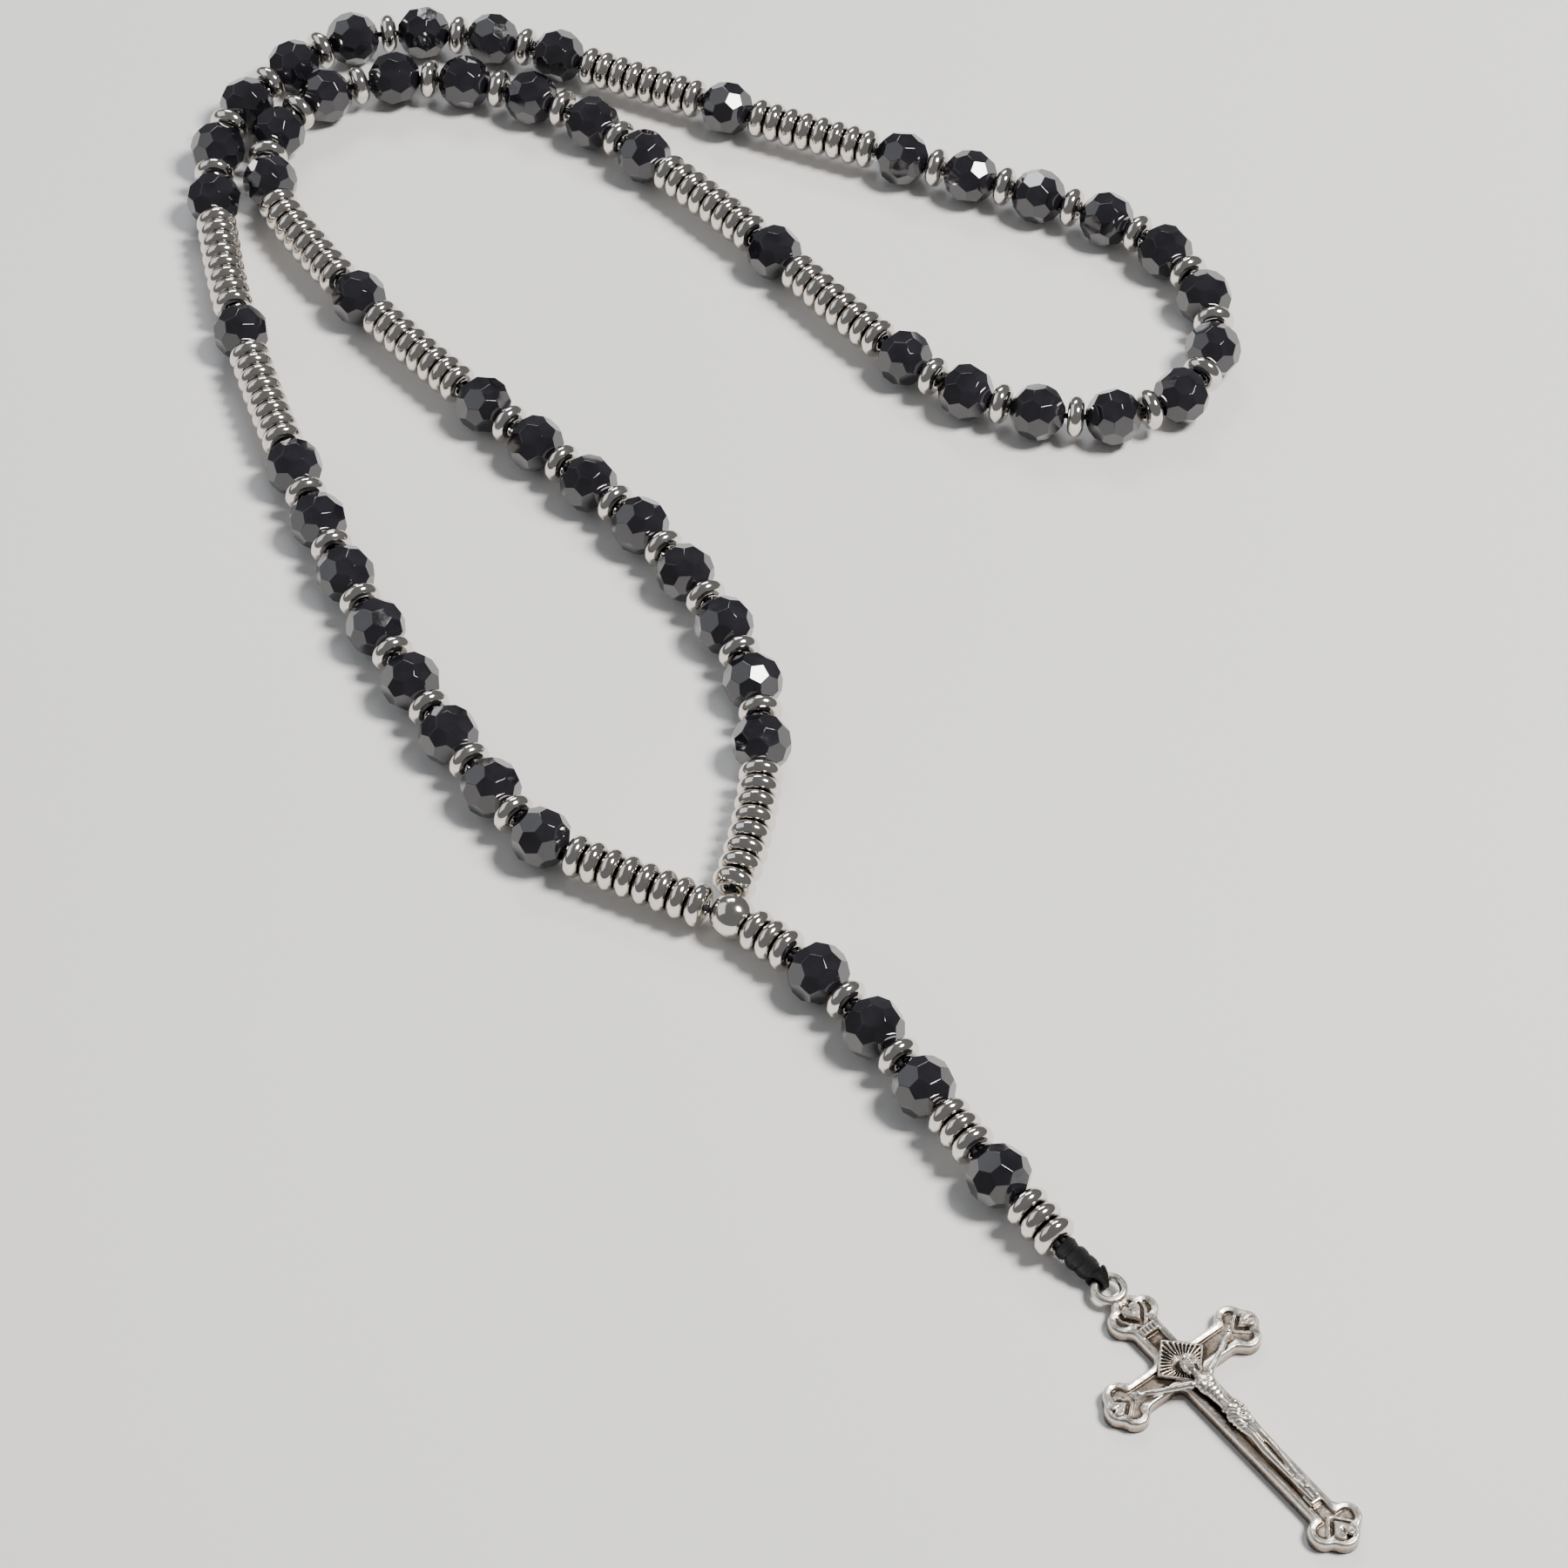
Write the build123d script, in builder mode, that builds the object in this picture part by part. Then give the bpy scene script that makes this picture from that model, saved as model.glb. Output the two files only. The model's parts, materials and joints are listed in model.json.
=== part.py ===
from build123d import *
import os
from math import acos, atan, cos, degrees, pi, radians, sin, sqrt, tan

# A rosary lying on a flat surface: one black cord carries faceted beads and silver rings round a
# loop, both its ends pass through a round junction bead into a short tail, and a wrapped knot
# holds the eye of a crucifix. Millimetres, +Z up, Z = 0 is the surface.

# ---- Driving dimensions ----
BEAD_CORNERS = 8.2          # a faceted bead, across opposite corners
BORE = 2.2                  # the hole through every bead and ring
RING_OUTER = 6.0
RING_THICK = 2.4
RING_BULGE = 1.0            # how far a ring's rim swells beyond its flat faces
RING_FLAT = RING_OUTER / 2 - RING_BULGE
RING_GAP = 0.1              # between two rings of one stack, and more where the cord turns
STATION_PASSES = 3          # rounds in which the gaps at the turns settle
FOLD_GAP = 0.55             # where the string bends
CORD_DIAMETER = 0.8
STRAND_OFFSET = 0.45        # each of the tail's two strands, from the tail's centreline
ARC_SHARE = 0.45            # the part of a run that an arc may use at each end
GOLDEN_ANGLE = 137.5        # turns each bead differently about the cord

JUNCTION_DIAMETER = 6.0
JUNCTION_FRONT = 2.5        # from its centre to the flat end at the tail
JUNCTION_BACK = 2.2         # from its centre to the flat end at the loop
JUNCTION_BORE = 2.4
JUNCTION_MOUTH = 3.7        # the bore at the back, where the two strands part
JUNCTION_TURN = 4.0         # how far it is turned from the tail towards the inner strand
JUNCTION_POINT = (4.0, -42.3, 3.4)
JUNCTION_TO_OUTER = 3.45    # along the cord, to the first ring of the outer strand
JUNCTION_TO_INNER = 4.1     # the inner strand turns here, so its first ring stands further off

EYE_RADIUS = 1.75           # centreline of the crucifix's eye
EYE_WIRE = 0.55
EYE_DROP = 13.9             # from the crossing of the beams up to the eye's centre
EYE_HEIGHT = 1.6
NECK_WIDTH = 2.2            # the metal between the eye and the cross
NECK_LENGTH = 2.2
KNOT_RADIUS = 1.55
KNOT_CLEARANCE = 0.3        # from the ends of the cord to the face of the knot
KNOT_TO_WIRE = 1.0          # from the end of its barrel to the middle of the eye's wire
KNOT_LOOP_RADIUS = 1.05     # centreline of the loop round the eye's wire
KNOT_LOOP_WIRE = 0.4
# The barrel's outline: (share of its length, share of its radius)
KNOT_OUTLINE = [
    (0, 0), (0, 0.8), (0.12, 1), (0.25, 0.9), (0.4, 1), (0.7, 0.97), (0.9, 0.85), (1, 0.65), (1, 0),
]

CROSS_CENTRE = (59.1, -107.6)
CROSS_TURN = 38.4           # the arms' direction, in degrees from +X
CROSS_THICK = 1.8
BEAM_WIDTH = 3.7
ARM_WIDTH = 4.1
ARM_RISE = 0.5              # the arms' centreline, above the crossing
# Each beam ends in three round lobes: reach of the side pair, their spread, the tip's reach, radius
TOP_END = (9.45, 1.6, 10.8, 1.8)
ARM_END = (8.8, 1.55, 9.95, 1.75)
FOOT_END = (26.3, 1.65, 27.9, 1.9)
PANEL_SIDE = 5.3            # the square panel stands on its corner
PANEL_RISE = 0.95
PANEL_MARGIN = 0.7          # the cross under the panel is this much wider
PLAQUE_RISE = 6.65
PLAQUE_SIZE = (2.5, 1.3)
RELIEF = 0.35               # the panel, hearts and plaque stand this far up
# The hearts: how far out from the crossing, and the radius of their two round halves
TOP_HEART = (9.2, 0.75)
ARM_HEART = (10.0, 0.62)
FOOT_HEART = (27.3, 0.7)

BODY_THICK = 1.5            # the figure
LIMB_THICK = 0.9
HEAD_RADIUS = 1.35
HEAD_PLACE = (-0.1, -0.5)
# One half of the figure's body and legs, from the neck down
BODY_HALF = [
    (0, -1.6), (1.8, -2.3), (1.55, -4.8), (1.1, -6.9), (1.5, -9.2), (1.15, -12.2), (0.75, -19.6),
    (0.8, -22.6), (0, -22.8),
]
# One arm, from the shoulder to the hand and back
ARM_OUTLINE = [(0.6, -2.0), (1.7, -3.4), (4.3, -1.6), (7.5, -0.1), (7.3, 0.9), (4.0, -0.6)]
FOOT_BLOCK = (2.2, 1.6)
FOOT_BLOCK_PLACE = -23.3
FOOT_BLOCK_RISE = 0.7       # above the panel's height

# ---- The cord's route, chosen by hand: out along the outer strand and back along the inner ----
LOOP_ROUTE = [
    (-8.5, -37.0, 3.8), (-22.0, -30.8, 4.1), (-35.0, -12.5, 4.1), (-46.5, 7.5, 4.1),
    (-55.2, 26.0, 4.1), (-63.5, 46.5, 4.1), (-71.0, 68.0, 4.1), (-75.8, 90.0, 4.1),
    (-76.3, 103.5, 4.1), (-70.8, 114.8, 4.1), (-60.2, 126.3, 4.1), (-47.0, 128.6, 4.1),
    (-32.5, 126.0, 4.1), (-14.0, 117.8, 4.1), (5.5, 109.3, 4.1), (26.0, 101.3, 4.1),
    (45.0, 94.2, 4.1), (60.5, 86.8, 4.1), (69.0, 77.5, 4.1), (72.5, 65.0, 4.1),
    (68.3, 52.7, 4.1), (57.5, 47.0, 4.1), (44.5, 48.0, 4.1), (32.0, 53.5, 4.1),
    (20.0, 65.5, 4.1), (6.0, 82.5, 4.1), (-9.0, 98.0, 4.1), (-22.5, 110.3, 4.1),
    (-37.0, 116.6, 4.1), (-51.5, 118.0, 4.1), (-63.5, 112.0, 4.1), (-69.2, 101.0, 4.1),
    (-66.3, 88.5, 4.1), (-54.5, 71.5, 4.1), (-40.5, 55.5, 4.1), (-25.5, 40.6, 4.1),
    (-10.6, 26.4, 4.1), (0.4, 10.8, 4.1), (7.2, -5.5, 4.1), (7.4, -20.0, 4.1),
    (6.2, -29.0, 3.9), (4.4, -36.8, 3.6), (2.6, -40.6, 3.4),
]
TAIL_ROUTE = [
    JUNCTION_POINT, (9.2, -46.5, 3.7), (14.5, -51.0, 4.1), (22.0, -60.0, 4.1),
    (27.9, -68.6, 4.1), (37.1, -82.1, 4.25), (44.9, -91.7, 3.3),
]

# ---- What is strung on the loop, from the junction along the outer strand and back ----
# A stack is eight rings, a divider is a single bead, a decade has one ring between neighbours.
LOOP_GROUPS = [
    ("stack", 8), ("decade", 8), ("stack", 8), ("divider", 1), ("stack", 8), ("decade", 8),
    ("stack", 8), ("divider", 1), ("stack", 8), ("decade", 12), ("stack", 8), ("divider", 1),
    ("stack", 8), ("decade", 8), ("stack", 8), ("divider", 1), ("stack", 8), ("decade", 8),
    ("stack", 8),
]
# Each fold crosses both strands: it opens the gap before this piece of the outer strand, and
# the gap before this piece of the inner strand. Pieces count from 0 at the junction.
OUTER_FOLDS = [0, 8, 15, 22, 32, 42, 49, 55, 72, 78]
INNER_FOLDS = [167, 159, 154, 144, 135, 126, 121, 115, 103, 93]
OPEN_GAP = 84               # the loop's chain of bodies is opened before this piece

TAIL_GROUPS = [3, "bead", 1, "bead", 1, "bead", 3, "bead", 3]


# ---- Geometry helpers ----
def rounded_path(points):
    """Straight runs joined by tangent arcs as large as their runs allow."""
    radii = []
    for before, point, after in zip(points, points[1:], points[2:]):
        arrive = Vector(point) - Vector(before)
        leave = Vector(after) - Vector(point)
        half_turn = radians(arrive.get_angle(leave)) / 2
        radii.append(ARC_SHARE * min(arrive.length, leave.length) / tan(half_turn))
    with BuildLine() as path:
        FilletPolyline(*points, radius=radii)
    return path.wire(), radii


def along(path, distance):
    """The plane square to a path at a distance from its start."""
    point = path.position_at(distance, position_mode=PositionMode.LENGTH)
    direction = path.tangent_at(distance, position_mode=PositionMode.LENGTH)
    return Plane(origin=point, x_dir=(0, 0, 1), z_dir=direction)


def nearest_distance(path, point, start, stop, step=0.1):
    """How far along a path, between start and stop, it passes a point."""
    count = int((stop - start) / step)
    stations = [start + step * index for index in range(count + 1)]
    target = Vector(point)
    return min(stations, key=lambda s: (along(path, s).origin - target).length)


def shifted_strand(points, offset):
    """A route moved sideways, for one of the two strands that lie side by side."""
    shifted = []
    for index, point in enumerate(points):
        before = Vector(points[max(index - 1, 0)])
        after = Vector(points[min(index + 1, len(points) - 1)])
        run = (after - before).normalized()
        shifted.append(Vector(point) + Vector(-run.Y, run.X, 0) * offset)
    return shifted


def placed_group(master, stations, turning):
    """Copies of one piece, at (path, distance, serial) stations, as one group of solids."""
    with BuildPart() as group:
        for path, distance, serial in stations:
            spin = Location((0, 0, 0), (0, 0, serial * turning))
            with Locations(Location(along(path, distance)) * spin):
                add(master)
    return group.part


# ---- The strung pieces ----
def faceted_bead():
    """A bead with 12 five-sided and 20 six-sided facets, drilled from facet to facet."""
    edge = BEAD_CORNERS / 2 / sqrt((29 + 9 * sqrt(5)) / 8)
    five_sided = edge / 2 * sqrt((125 + 41 * sqrt(5)) / 10)
    six_sided = edge / 2 * sqrt(3 * (7 + 3 * sqrt(5)) / 2)
    near_end = degrees(acos(sqrt((5 + 2 * sqrt(5)) / 15)))
    near_middle = degrees(acos(sqrt((5 - 2 * sqrt(5)) / 15)))
    shoulder = degrees(atan(2))
    rings = [
        (0, 0, 1, five_sided), (near_end, 36, 5, six_sided), (shoulder, 0, 5, five_sided),
        (near_middle, 36, 5, six_sided),
    ]
    mirrored = [(180 - tilt, 36 + first, count, reach) for tilt, first, count, reach in rings]
    with BuildPart() as bead:
        Box(2 * BEAD_CORNERS, 2 * BEAD_CORNERS, 2 * BEAD_CORNERS)
        for tilt, first, count, reach in rings + mirrored:
            for step in range(count):
                turn = radians(first + 72 * step)
                lean = radians(tilt)
                outward = Vector(sin(lean) * cos(turn), sin(lean) * sin(turn), cos(lean))
                split(bisect_by=Plane(outward * reach, z_dir=outward), keep=Keep.BOTTOM)
        Hole(radius=BORE / 2)
    return bead.part, five_sided


def silver_ring():
    """A thick flat ring with a swelling rim."""
    half = RING_THICK / 2
    with BuildPart() as ring:
        with BuildSketch(Plane.XZ):
            with BuildLine():
                Polyline((RING_FLAT, -half), (BORE / 2, -half), (BORE / 2, half), (RING_FLAT, half))
                ThreePointArc((RING_FLAT, half), (RING_OUTER / 2, 0), (RING_FLAT, -half))
            make_face()
        revolve(axis=Axis.Z)
    return ring.part


def junction_bead(plane):
    """A round bead with flat ends; its bore widens at the back, where the two strands part."""
    radius = JUNCTION_DIAMETER / 2
    bore = JUNCTION_BORE / 2
    front_edge = sqrt(radius ** 2 - JUNCTION_FRONT ** 2)
    back_edge = sqrt(radius ** 2 - JUNCTION_BACK ** 2)
    section = Plane(origin=plane.origin, x_dir=plane.x_dir, z_dir=-plane.y_dir)
    with BuildPart() as bead:
        with BuildSketch(section):
            with BuildLine():
                Polyline((front_edge, JUNCTION_FRONT), (bore, JUNCTION_FRONT), (bore, 0),
                         (JUNCTION_MOUTH / 2, -JUNCTION_BACK), (back_edge, -JUNCTION_BACK))
                ThreePointArc((back_edge, -JUNCTION_BACK), (radius, 0), (front_edge, JUNCTION_FRONT))
            make_face()
        revolve(axis=Axis(plane.origin, plane.z_dir))
    return bead.part


# ---- The wrapped knot and the crucifix ----
def wrapped_knot(start, end_point, wire_direction):
    """A wound barrel that starts square to the tail and ends in a loop round the eye's wire."""
    reach = Vector(end_point) - start.origin
    barrel_length = reach.length - KNOT_TO_WIRE
    profile = [(share * KNOT_RADIUS, place * barrel_length) for place, share in KNOT_OUTLINE]
    barrel_plane = Plane(origin=start.origin, x_dir=(0, 0, 1), z_dir=reach)
    section = Plane(origin=start.origin, x_dir=barrel_plane.x_dir, z_dir=-barrel_plane.y_dir)
    loop_plane = Plane(origin=end_point, x_dir=(0, 0, 1), z_dir=wire_direction)
    with BuildPart() as knot:
        with BuildSketch(section):
            Polygon(*profile, align=None)
        revolve(axis=Axis(start.origin, reach))
        with Locations(Location(loop_plane)):
            Torus(major_radius=KNOT_LOOP_RADIUS, minor_radius=KNOT_LOOP_WIRE)
    return knot.part


def beam_end(end, turn, rise=0):
    """Three round lobes at one end of a beam: a side pair and a tip."""
    reach, spread, tip, radius = end
    centres = [Vector(-spread, reach), Vector(spread, reach), Vector(0, tip)]
    with Locations(*[centre.rotate(Axis.Z, turn) + Vector(0, rise) for centre in centres]):
        Circle(radius)


def heart(place, turn, rise=0):
    """A heart at one end of a beam, its point towards the crossing."""
    reach, radius = place
    centre = Vector(0, reach).rotate(Axis.Z, turn) + Vector(0, rise)
    half = radius / sqrt(2)
    with Locations(Location((centre.X, centre.Y, 0), (0, 0, turn))):
        Rectangle(2 * radius, 2 * radius, rotation=45)
        with Locations((-half, half), (half, half)):
            Circle(radius)


def crucifix_cross(plane):
    """The flat cross with its three-lobed ends, raised panel, hearts, plaque and cast eye."""
    top = plane.offset(CROSS_THICK)
    with BuildPart() as cross:
        with BuildSketch(plane):
            with Locations((0, (TOP_END[0] - FOOT_END[0]) / 2)):
                Rectangle(BEAM_WIDTH, TOP_END[0] + FOOT_END[0])
            with Locations((0, ARM_RISE)):
                Rectangle(2 * ARM_END[0], ARM_WIDTH)
            beam_end(TOP_END, 0)
            beam_end(ARM_END, 90, ARM_RISE)
            beam_end(ARM_END, -90, ARM_RISE)
            beam_end(FOOT_END, 180)
            with Locations((0, PANEL_RISE)):
                Rectangle(PANEL_SIDE + PANEL_MARGIN, PANEL_SIDE + PANEL_MARGIN, rotation=45)
        extrude(amount=CROSS_THICK)
        with BuildSketch(top):
            with Locations((0, PANEL_RISE)):
                Rectangle(PANEL_SIDE, PANEL_SIDE, rotation=45)
            with Locations((0, PLAQUE_RISE)):
                Rectangle(*PLAQUE_SIZE)
            heart(TOP_HEART, 0)
            heart(ARM_HEART, 90, ARM_RISE)
            heart(ARM_HEART, -90, ARM_RISE)
            heart(FOOT_HEART, 180)
        extrude(amount=RELIEF)
        with BuildSketch(plane.offset(EYE_HEIGHT - EYE_WIRE)):
            with Locations((0, EYE_DROP - EYE_RADIUS - NECK_LENGTH / 2)):
                Rectangle(NECK_WIDTH, NECK_LENGTH)
        extrude(amount=2 * EYE_WIRE)
        eye_centre = plane.origin + plane.y_dir * EYE_DROP + plane.z_dir * EYE_HEIGHT
        with Locations(Location(Plane(origin=eye_centre, z_dir=plane.z_dir))):
            Torus(major_radius=EYE_RADIUS, minor_radius=EYE_WIRE)
    return cross.part


def corpus_figure(plane):
    """The figure on the cross as one plain solid that rests on the panel and the beams."""
    back = plane.offset(CROSS_THICK + RELIEF)
    other_half = [(-x, y) for x, y in reversed(BODY_HALF[1:-1])]
    with BuildPart() as corpus:
        with BuildSketch(back):
            Polygon(*BODY_HALF, *other_half, align=None)
        extrude(amount=BODY_THICK)
        for side in (-1, 1):
            with BuildSketch(back):
                Polygon(*[(side * x, y) for x, y in ARM_OUTLINE], align=None)
            extrude(amount=LIMB_THICK)
        with Locations(Location(back.offset(BODY_THICK * 0.7)) * Location((*HEAD_PLACE, 0))):
            Sphere(radius=HEAD_RADIUS)
        split(bisect_by=back, keep=Keep.TOP)
        with BuildSketch(plane.offset(CROSS_THICK)):
            with Locations((0, FOOT_BLOCK_PLACE)):
                Rectangle(*FOOT_BLOCK)
        extrude(amount=RELIEF + FOOT_BLOCK_RISE)
    return corpus.part


# ---- The cord, whole: knot, tail strand, junction, loop, junction, tail strand, knot ----
strand_out = shifted_strand(TAIL_ROUTE, STRAND_OFFSET)
strand_back = shifted_strand(TAIL_ROUTE, -STRAND_OFFSET)
cord_route = (list(reversed(strand_back))
              + [Vector(point) for point in LOOP_ROUTE]
              + strand_out[1:])
cord_path, cord_radii = rounded_path(cord_route)
tail_path, tail_radii = rounded_path(TAIL_ROUTE)
CORD_LENGTH = cord_path.length
TAIL_LENGTH = tail_path.length
print("cord arc radii", [round(radius, 1) for radius in cord_radii])
print("tail arc radii", [round(radius, 1) for radius in tail_radii])


def stringing_cord():
    """A plain tube along the whole route."""
    with BuildPart() as cord:
        add(cord_path)
        with BuildSketch(Plane(origin=cord_path @ 0, z_dir=cord_path % 0)):
            Circle(CORD_DIAMETER / 2)
        sweep(path=cord_path)
    expected = pi * (CORD_DIAMETER / 2) ** 2 * CORD_LENGTH
    print("cord length", round(CORD_LENGTH, 1), "volume / expected", cord.part.volume / expected)
    return cord.part


# ---- Where everything sits ----
bead_solid, BEAD_HALF = faceted_bead()
ring_solid = silver_ring()
HALF_LENGTH = {"bead": BEAD_HALF, "ring": RING_THICK / 2}


def loop_pieces():
    """The loop's pieces in order: kind, group and a serial number."""
    pieces = []
    counts = {"stack": 0, "decade": 0, "divider": 0}
    for kind, count in LOOP_GROUPS:
        counts[kind] += 1
        group = f"{kind}_{counts[kind]}"
        for index in range(count):
            if kind == "decade" and index > 0:
                pieces.append(("ring", group))
            pieces.append(("ring" if kind == "stack" else "bead", group))
    return pieces


def gap_kind(pieces, index):
    """The kind of gap before a piece of the loop."""
    if index in OUTER_FOLDS or index in INNER_FOLDS or index == OPEN_GAP:
        return "fold"
    both_rings = pieces[index - 1][0] == "ring" and pieces[index][0] == "ring"
    return "stack" if both_rings else "bead"


def turn_between(first, second):
    """How far the cord turns between two distances along it, in radians."""
    return radians(along(cord_path, first).z_dir.get_angle(along(cord_path, second).z_dir))


def loop_stations(pieces, start, stop):
    """Each piece's distance along the cord, with the spare length shared by the bead gaps."""
    kinds = [gap_kind(pieces, index) for index in range(1, len(pieces))]
    solid = sum(2 * HALF_LENGTH[kind] for kind, group in pieces)
    fixed = RING_GAP * kinds.count("stack") + FOLD_GAP * kinds.count("fold")
    wedges = [0] * len(kinds)
    for repeat in range(STATION_PASSES):
        bead_gap = (stop - start - solid - fixed - sum(wedges)) / kinds.count("bead")
        widths = {"stack": RING_GAP, "fold": FOLD_GAP, "bead": bead_gap}
        distances = []
        position = start
        for index, (kind, group) in enumerate(pieces):
            if index > 0:
                position += widths[kinds[index - 1]] + wedges[index - 1]
            distances.append(position + HALF_LENGTH[kind])
            position += 2 * HALF_LENGTH[kind]
        turns = [turn_between(*pair) for pair in zip(distances, distances[1:])]
        wedges = [RING_FLAT * turn * (kind == "stack") for turn, kind in zip(turns, kinds)]
    print("gap between a bead and a ring", round(bead_gap, 3))
    return distances


PIECES = loop_pieces()
junction_out = nearest_distance(cord_path, JUNCTION_POINT, TAIL_LENGTH - 6, TAIL_LENGTH + 6)
junction_back = nearest_distance(cord_path, JUNCTION_POINT, CORD_LENGTH - TAIL_LENGTH - 6,
                                 CORD_LENGTH - TAIL_LENGTH + 6)
LOOP_START = junction_out + JUNCTION_TO_OUTER
LOOP_STOP = junction_back - JUNCTION_TO_INNER
STATIONS = loop_stations(PIECES, LOOP_START, LOOP_STOP)
print("loop length", round(LOOP_STOP - LOOP_START, 1))


def segment_of(index):
    """The rigid segment that a piece of the loop belongs to."""
    if index < OPEN_GAP:
        return "outer", sum(1 for fold in OUTER_FOLDS if fold <= index)
    return "inner", sum(1 for fold in INNER_FOLDS if fold > index)


def node_groups():
    """The loop's nodes: name -> (strand and segment, kind, piece numbers)."""
    groups = {}
    letters = {}
    for index, (kind, group) in enumerate(PIECES):
        segment = segment_of(index)
        if group.startswith("decade"):
            family = (group, kind)
            seen = letters.setdefault(family, [])
            if segment not in seen:
                seen.append(segment)
            letter = "abcdef"[seen.index(segment)]
            name = f"{group}_{kind}s_{letter}"
        else:
            name = group.replace("stack", "ring_stack").replace("divider", "divider_bead")
        groups.setdefault(name, (segment, kind, []))[2].append(index)
    return groups


GROUPS = node_groups()


def gap_before(index):
    """The middle of the gap before a piece of the loop, as a distance along the cord."""
    if index == 0:
        return STATIONS[0] - HALF_LENGTH["ring"] - FOLD_GAP / 2
    if index == len(PIECES):
        return STATIONS[-1] + HALF_LENGTH["ring"] + FOLD_GAP / 2
    before = STATIONS[index - 1] + HALF_LENGTH[PIECES[index - 1][0]]
    after = STATIONS[index] - HALF_LENGTH[PIECES[index][0]]
    return (before + after) / 2


def fold_lines():
    """Each fold's two points, one in each strand."""
    lines = []
    for outer, inner in zip(OUTER_FOLDS, INNER_FOLDS):
        lines.append((along(cord_path, gap_before(outer)).origin,
                      along(cord_path, gap_before(inner)).origin))
    return lines


def tail_stations():
    """The tail's pieces: name, kind, distances of its solids, and the gap before it."""
    solid = 0
    for item in TAIL_GROUPS:
        solid += 2 * BEAD_HALF if item == "bead" else item * RING_THICK + (item - 1) * RING_GAP
    gap = (TAIL_LENGTH - JUNCTION_FRONT - solid) / (len(TAIL_GROUPS) + 1)
    print("gap in the tail", round(gap, 3))
    found = []
    position = JUNCTION_FRONT
    beads = 0
    rings = 0
    for item in TAIL_GROUPS:
        joint = position + gap / 2
        position += gap
        if item == "bead":
            beads += 1
            found.append((f"tail_bead_{beads}", "bead", [position + BEAD_HALF], joint))
            position += 2 * BEAD_HALF
        else:
            rings += 1
            centres = [position + RING_THICK / 2 + k * (RING_THICK + RING_GAP) for k in range(item)]
            found.append((f"tail_rings_{rings}", "ring", centres, joint))
            position += item * RING_THICK + (item - 1) * RING_GAP
    return found, position + gap / 2


TAIL_PIECES, KNOT_JOINT = tail_stations()
CROSS_PLANE = Plane(
    origin=(CROSS_CENTRE[0], CROSS_CENTRE[1], 0),
    x_dir=(cos(radians(CROSS_TURN)), sin(radians(CROSS_TURN)), 0),
    z_dir=(0, 0, 1),
)
EYE_TOP = (CROSS_PLANE.origin + CROSS_PLANE.y_dir * (EYE_DROP + EYE_RADIUS)
           + CROSS_PLANE.z_dir * EYE_HEIGHT)
JUNCTION_PLANE = Plane(
    origin=JUNCTION_POINT,
    x_dir=(0, 0, 1),
    z_dir=(Vector(TAIL_ROUTE[1]) - Vector(JUNCTION_POINT)).rotate(Axis.Z, -JUNCTION_TURN),
)


# ---- Build and write every node ----
def write(part, name):
    part.label = name
    export_step(part, f"parts/{name}.step")


def build_all():
    os.makedirs("parts", exist_ok=True)
    write(junction_bead(JUNCTION_PLANE), "junction_bead")
    write(stringing_cord(), "stringing_cord")
    masters = {"bead": bead_solid, "ring": ring_solid}
    for name, (segment, kind, numbers) in GROUPS.items():
        stations = [(cord_path, STATIONS[number], number) for number in numbers]
        write(placed_group(masters[kind], stations, GOLDEN_ANGLE), name)
    for serial, (name, kind, distances, joint) in enumerate(TAIL_PIECES):
        stations = [(tail_path, distance, serial + 1) for distance in distances]
        write(placed_group(masters[kind], stations, GOLDEN_ANGLE), name)
    knot_start = along(tail_path, TAIL_LENGTH).offset(KNOT_CLEARANCE)
    write(wrapped_knot(knot_start, EYE_TOP, CROSS_PLANE.x_dir), "wrapped_knot")
    write(crucifix_cross(CROSS_PLANE), "crucifix_cross")
    write(corpus_figure(CROSS_PLANE), "crucifix_corpus")


if __name__ == "__main__":
    build_all()
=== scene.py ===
import json
import math
import random
from collections import namedtuple

import bmesh
import bpy
import numpy as np
from mathutils import Matrix, Vector

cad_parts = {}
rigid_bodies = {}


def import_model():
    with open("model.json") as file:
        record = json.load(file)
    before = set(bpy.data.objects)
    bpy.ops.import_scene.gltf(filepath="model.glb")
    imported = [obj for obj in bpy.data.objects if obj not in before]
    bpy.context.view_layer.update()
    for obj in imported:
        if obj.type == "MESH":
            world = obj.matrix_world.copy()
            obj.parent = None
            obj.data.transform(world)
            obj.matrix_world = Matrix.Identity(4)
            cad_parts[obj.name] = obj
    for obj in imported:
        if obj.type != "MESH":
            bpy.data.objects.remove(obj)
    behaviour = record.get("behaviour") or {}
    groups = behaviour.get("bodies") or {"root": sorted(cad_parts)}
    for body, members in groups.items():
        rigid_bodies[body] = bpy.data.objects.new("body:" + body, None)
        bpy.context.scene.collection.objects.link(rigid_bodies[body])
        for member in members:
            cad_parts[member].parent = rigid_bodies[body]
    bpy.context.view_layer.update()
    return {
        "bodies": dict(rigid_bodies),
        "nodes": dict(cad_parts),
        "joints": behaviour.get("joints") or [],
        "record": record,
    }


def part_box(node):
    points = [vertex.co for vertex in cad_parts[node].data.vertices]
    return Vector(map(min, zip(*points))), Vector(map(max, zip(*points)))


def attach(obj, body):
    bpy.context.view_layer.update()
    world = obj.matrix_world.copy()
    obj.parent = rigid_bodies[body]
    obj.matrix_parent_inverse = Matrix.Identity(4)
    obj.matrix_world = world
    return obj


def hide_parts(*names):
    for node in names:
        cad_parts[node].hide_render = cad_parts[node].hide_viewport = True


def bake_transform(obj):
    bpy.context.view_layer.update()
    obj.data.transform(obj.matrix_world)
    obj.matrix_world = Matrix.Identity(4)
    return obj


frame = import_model()
random.seed(7)
MM = 0.001
UP = Vector((0, 0, 1))
BODIES = frame["record"]["behaviour"]["bodies"]
scene = bpy.context.scene


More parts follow.
